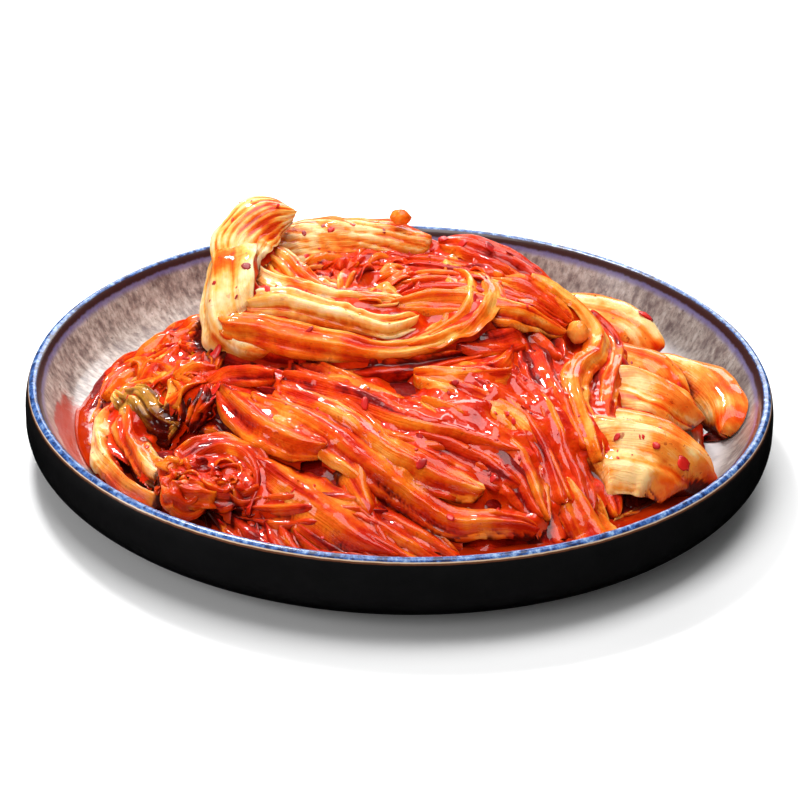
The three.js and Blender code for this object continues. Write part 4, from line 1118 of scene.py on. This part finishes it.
def lump(at, radius, stretch, seed, detail=20, rough=1.0):
    """Points, faces and values of an uneven ball."""
    turns = np.linspace(0, 2 * math.pi, detail + 1)[:-1]
    rise = np.linspace(-math.pi / 2, math.pi / 2, detail // 2 + 1)
    ball = np.stack([np.cos(rise)[:, None] * np.cos(turns), np.cos(rise)[:, None] * np.sin(turns),
                     np.sin(rise)[:, None] + 0 * turns], -1)
    uneven = 1 + rough * (0.16 * noise(ball, 0.8, seed) + 0.08 * noise(ball, 0.35, seed))
    points = (ball * uneven[..., None] * radius * np.array(stretch) + np.array(at)).reshape(-1, 3)
    values = {"ridge": 0.7 + 0 * points[:, 0], "along": points[:, 0], "across": points[:, 1],
              "leaf": np.full(len(points), seed % 97), "film": np.full(len(points), 0.4)}
    return points, grid_faces(len(rise), detail, around=True), values


for name, at, radius, stretch in (("garlic_bit", (-1, 31, 63), 2.9, (1.1, 0.9, 0.8)),
                                  ("pale_bead", (52.5, 2, 40), 3.4, (1, 1, 1))):
    bit = make_mesh(f"shown_{name}", *lump(at, radius, stretch, 91), LEAVES["pale"])
    place(bit, SLOTS["pale"], name)
print("garlic and bead made")

# %% [markdown]
# ## Chilli flakes
# Dried chilli flakes are thin red chips, some fine and some coarse. They could be painted specks, but would
# then have no edges. Here each is a flat lump that lies on the highest leaf or sauce and leans with the
# slope. The coarse clots are where the photo shows them, and the rest are scattered.

# %% Chilli flakes
FLAKES = 420
CLOTS = [(75, 33, 2.0), (67, -2, 2.2), (90, -7, 2.2), (81, -49, 1.9), (73, -47, 1.0), (62, -44, 0.9),
         (-46, 1, 1.2), (-55, -12, 2.0), (-2, -10, 2.4), (1, -9, 1.8), (-5, -11, 1.6), (-18, 0, 2.2),
         (-15, 1, 1.6), (26, 24, 1.8), (32, 22, 1.4), (12, 29, 1.6), (18, 27, 1.5), (40, 19, 1.3),
         (-30, 27, 0.8), (-22, 29, 0.9), (5, 24, 1.2)]
chilli_look = Look("chilli", Roughness=0.45, Coat_Weight=0.4, Coat_Roughness=0.08)
chilli_look.feed("Base Color", chilli_look.ramp(chilli_look.spots(chilli_look.here(), 160.0, 1.0), [
    (0.35, tone(150, 2, 0)), (0.5, tone(200, 8, 3)), (0.65, tone(230, 30, 8))]))
top_map = np.maximum(ground, sauce_level)


def slopes(row, column, cells):
    """How steeply the top rises towards the right and towards the back."""
    to_right = top_map[row, column + cells] - top_map[row, column - cells]
    to_back = top_map[row + cells, column] - top_map[row - cells, column]
    return to_right / (2 * cells * CELL), to_back / (2 * cells * CELL)


pieces = []
for number in range(FLAKES):
    angle = rng.uniform(0, 2 * math.pi)
    reach = float(heap_reach(angle)) * math.sqrt(rng.uniform(0.0, 0.92))
    x, y = reach * math.cos(angle), reach * math.sin(angle)
    size = rng.uniform(0.3, 0.75) if number % 9 else rng.uniform(0.9, 1.5)
    row, column = map_cell(x, y)
    slope_x, slope_y = slopes(row, column, 1)
    if math.hypot(slope_x, slope_y) > 1.6:
        continue
    flat = (1, rng.uniform(0.4, 0.9), 0.16)
    points, faces, values = lump((0, 0, 0), size, flat, 100 + number, detail=10, rough=2.2)
    spin = rng.uniform(0, math.pi)
    c, s = math.cos(spin), math.sin(spin)
    turned = np.stack([points[:, 0] * c - points[:, 1] * s, points[:, 0] * s + points[:, 1] * c,
                       points[:, 2]], -1)
    turned[:, 2] += slope_x * turned[:, 0] + slope_y * turned[:, 1]
    pieces.append((inside_dish(turned + [x, y, top_map[row, column] + 0.05]), faces, values))
for number, (x, y, size) in enumerate(CLOTS):
    row, column = map_cell(x, y)
    points, faces, values = lump((0, 0, 0), size, (1, 0.75, 0.24), 300 + number, detail=16, rough=2.4)
    slope_x, slope_y = np.clip(slopes(row, column, 2), -1.2, 1.2)
    points[:, 2] += slope_x * points[:, 0] + slope_y * points[:, 1] + top_map[row, column]
    pieces.append((inside_dish(points + [x, y, 0.1]), faces, values))
place(make_mesh("chilli_flakes", *joined(pieces), chilli_look.material), "red_leaf")
print("chilli flakes:", len(pieces))

# %% [markdown]
# ## Floor
# The photo was taken on plain white. A large pale plane just under the foot ring takes a soft shadow.

# %% Floor
floor_look = Look("floor", Roughness=0.9, Base_Color=(0.93, 0.93, 0.93, 1))
bpy.ops.mesh.primitive_plane_add(size=6, location=(0, 0, -0.0005))
floor = bpy.context.object
floor.name = "floor"
floor.data.materials.append(floor_look.material)
print("floor placed")

# %% [markdown]
# ## Light
# The photo has soft studio light from behind and above, with small white glints on every wet edge. One large
# lamp would light it flatly. A small key lamp gives the glints, and large ones behind, above and in front
# fill the shadows. The front lamp, the floor and the world are hidden from reflections, because they would
# lay a grey veil over the wet leaves and the dark glaze.

# %% Light
world = bpy.data.worlds.new("studio")
bpy.context.scene.world = world
world.use_nodes = True
background = world.node_tree.nodes["Background"]
background.inputs["Color"].default_value = (1, 1, 1, 1)
background.inputs["Strength"].default_value = 0.2
world.cycles_visibility.glossy = False
floor.visible_glossy = False
LAMPS = [  # name, place, size, power, glints
    ("key_light", (-0.22, 0.40, 0.78), (0.18, 0.14), 6.5, True),
    ("overhead_light", (0.05, -0.05, 0.95), (0.8, 0.5), 7.0, True),
    ("back_light", (0.15, 1.0, 0.55), (0.8, 0.35), 6.0, True),
    ("front_light", (-0.5, -0.8, 0.5), (0.6, 0.6), 3.5, False),
    ("left_light", (-1.1, -0.2, 0.42), (0.2, 0.4), 1.6, True),
]
for name, at, size, power, glints in LAMPS:
    lamp = bpy.data.lights.new(name, "AREA")
    lamp.shape = "RECTANGLE"
    lamp.size, lamp.size_y = size
    lamp.energy = power
    holder = bpy.data.objects.new(name, lamp)
    bpy.context.collection.objects.link(holder)
    holder.location = at
    holder.rotation_euler = (Vector((0, 0, 0.02)) - Vector(at)).to_track_quat("-Z", "Y").to_euler()
    holder.visible_glossy = glints
print("lights:", len(LAMPS))

# %% [markdown]
# ## Camera
# The camera stands where the photo was taken from. Its distance, height, roll and lens were fitted to the
# ellipse of the dish's rim, which is more exact than judging by eye.

# %% Camera
ELEVATION = 0.4742
ROLL_TURN = 0.02522
DISTANCE = 0.9
camera_data = bpy.data.cameras.new("camera")
camera_data.lens = 135.3
camera_data.sensor_width = 36
camera = bpy.data.objects.new("camera", camera_data)
bpy.context.collection.objects.link(camera)
target = Vector((0.00007, 0, 0.01707))
camera.location = target + DISTANCE * Vector((0, -math.cos(ELEVATION), math.sin(ELEVATION)))
aim = (target - camera.location).to_track_quat("-Z", "Y").to_matrix().to_4x4()
camera.rotation_euler = (aim @ Matrix.Rotation(ROLL_TURN, 4, "Z")).to_euler()
bpy.context.scene.camera = camera
bpy.context.scene.view_settings.view_transform = "Standard"
print("camera at", [round(c, 3) for c in camera.location])
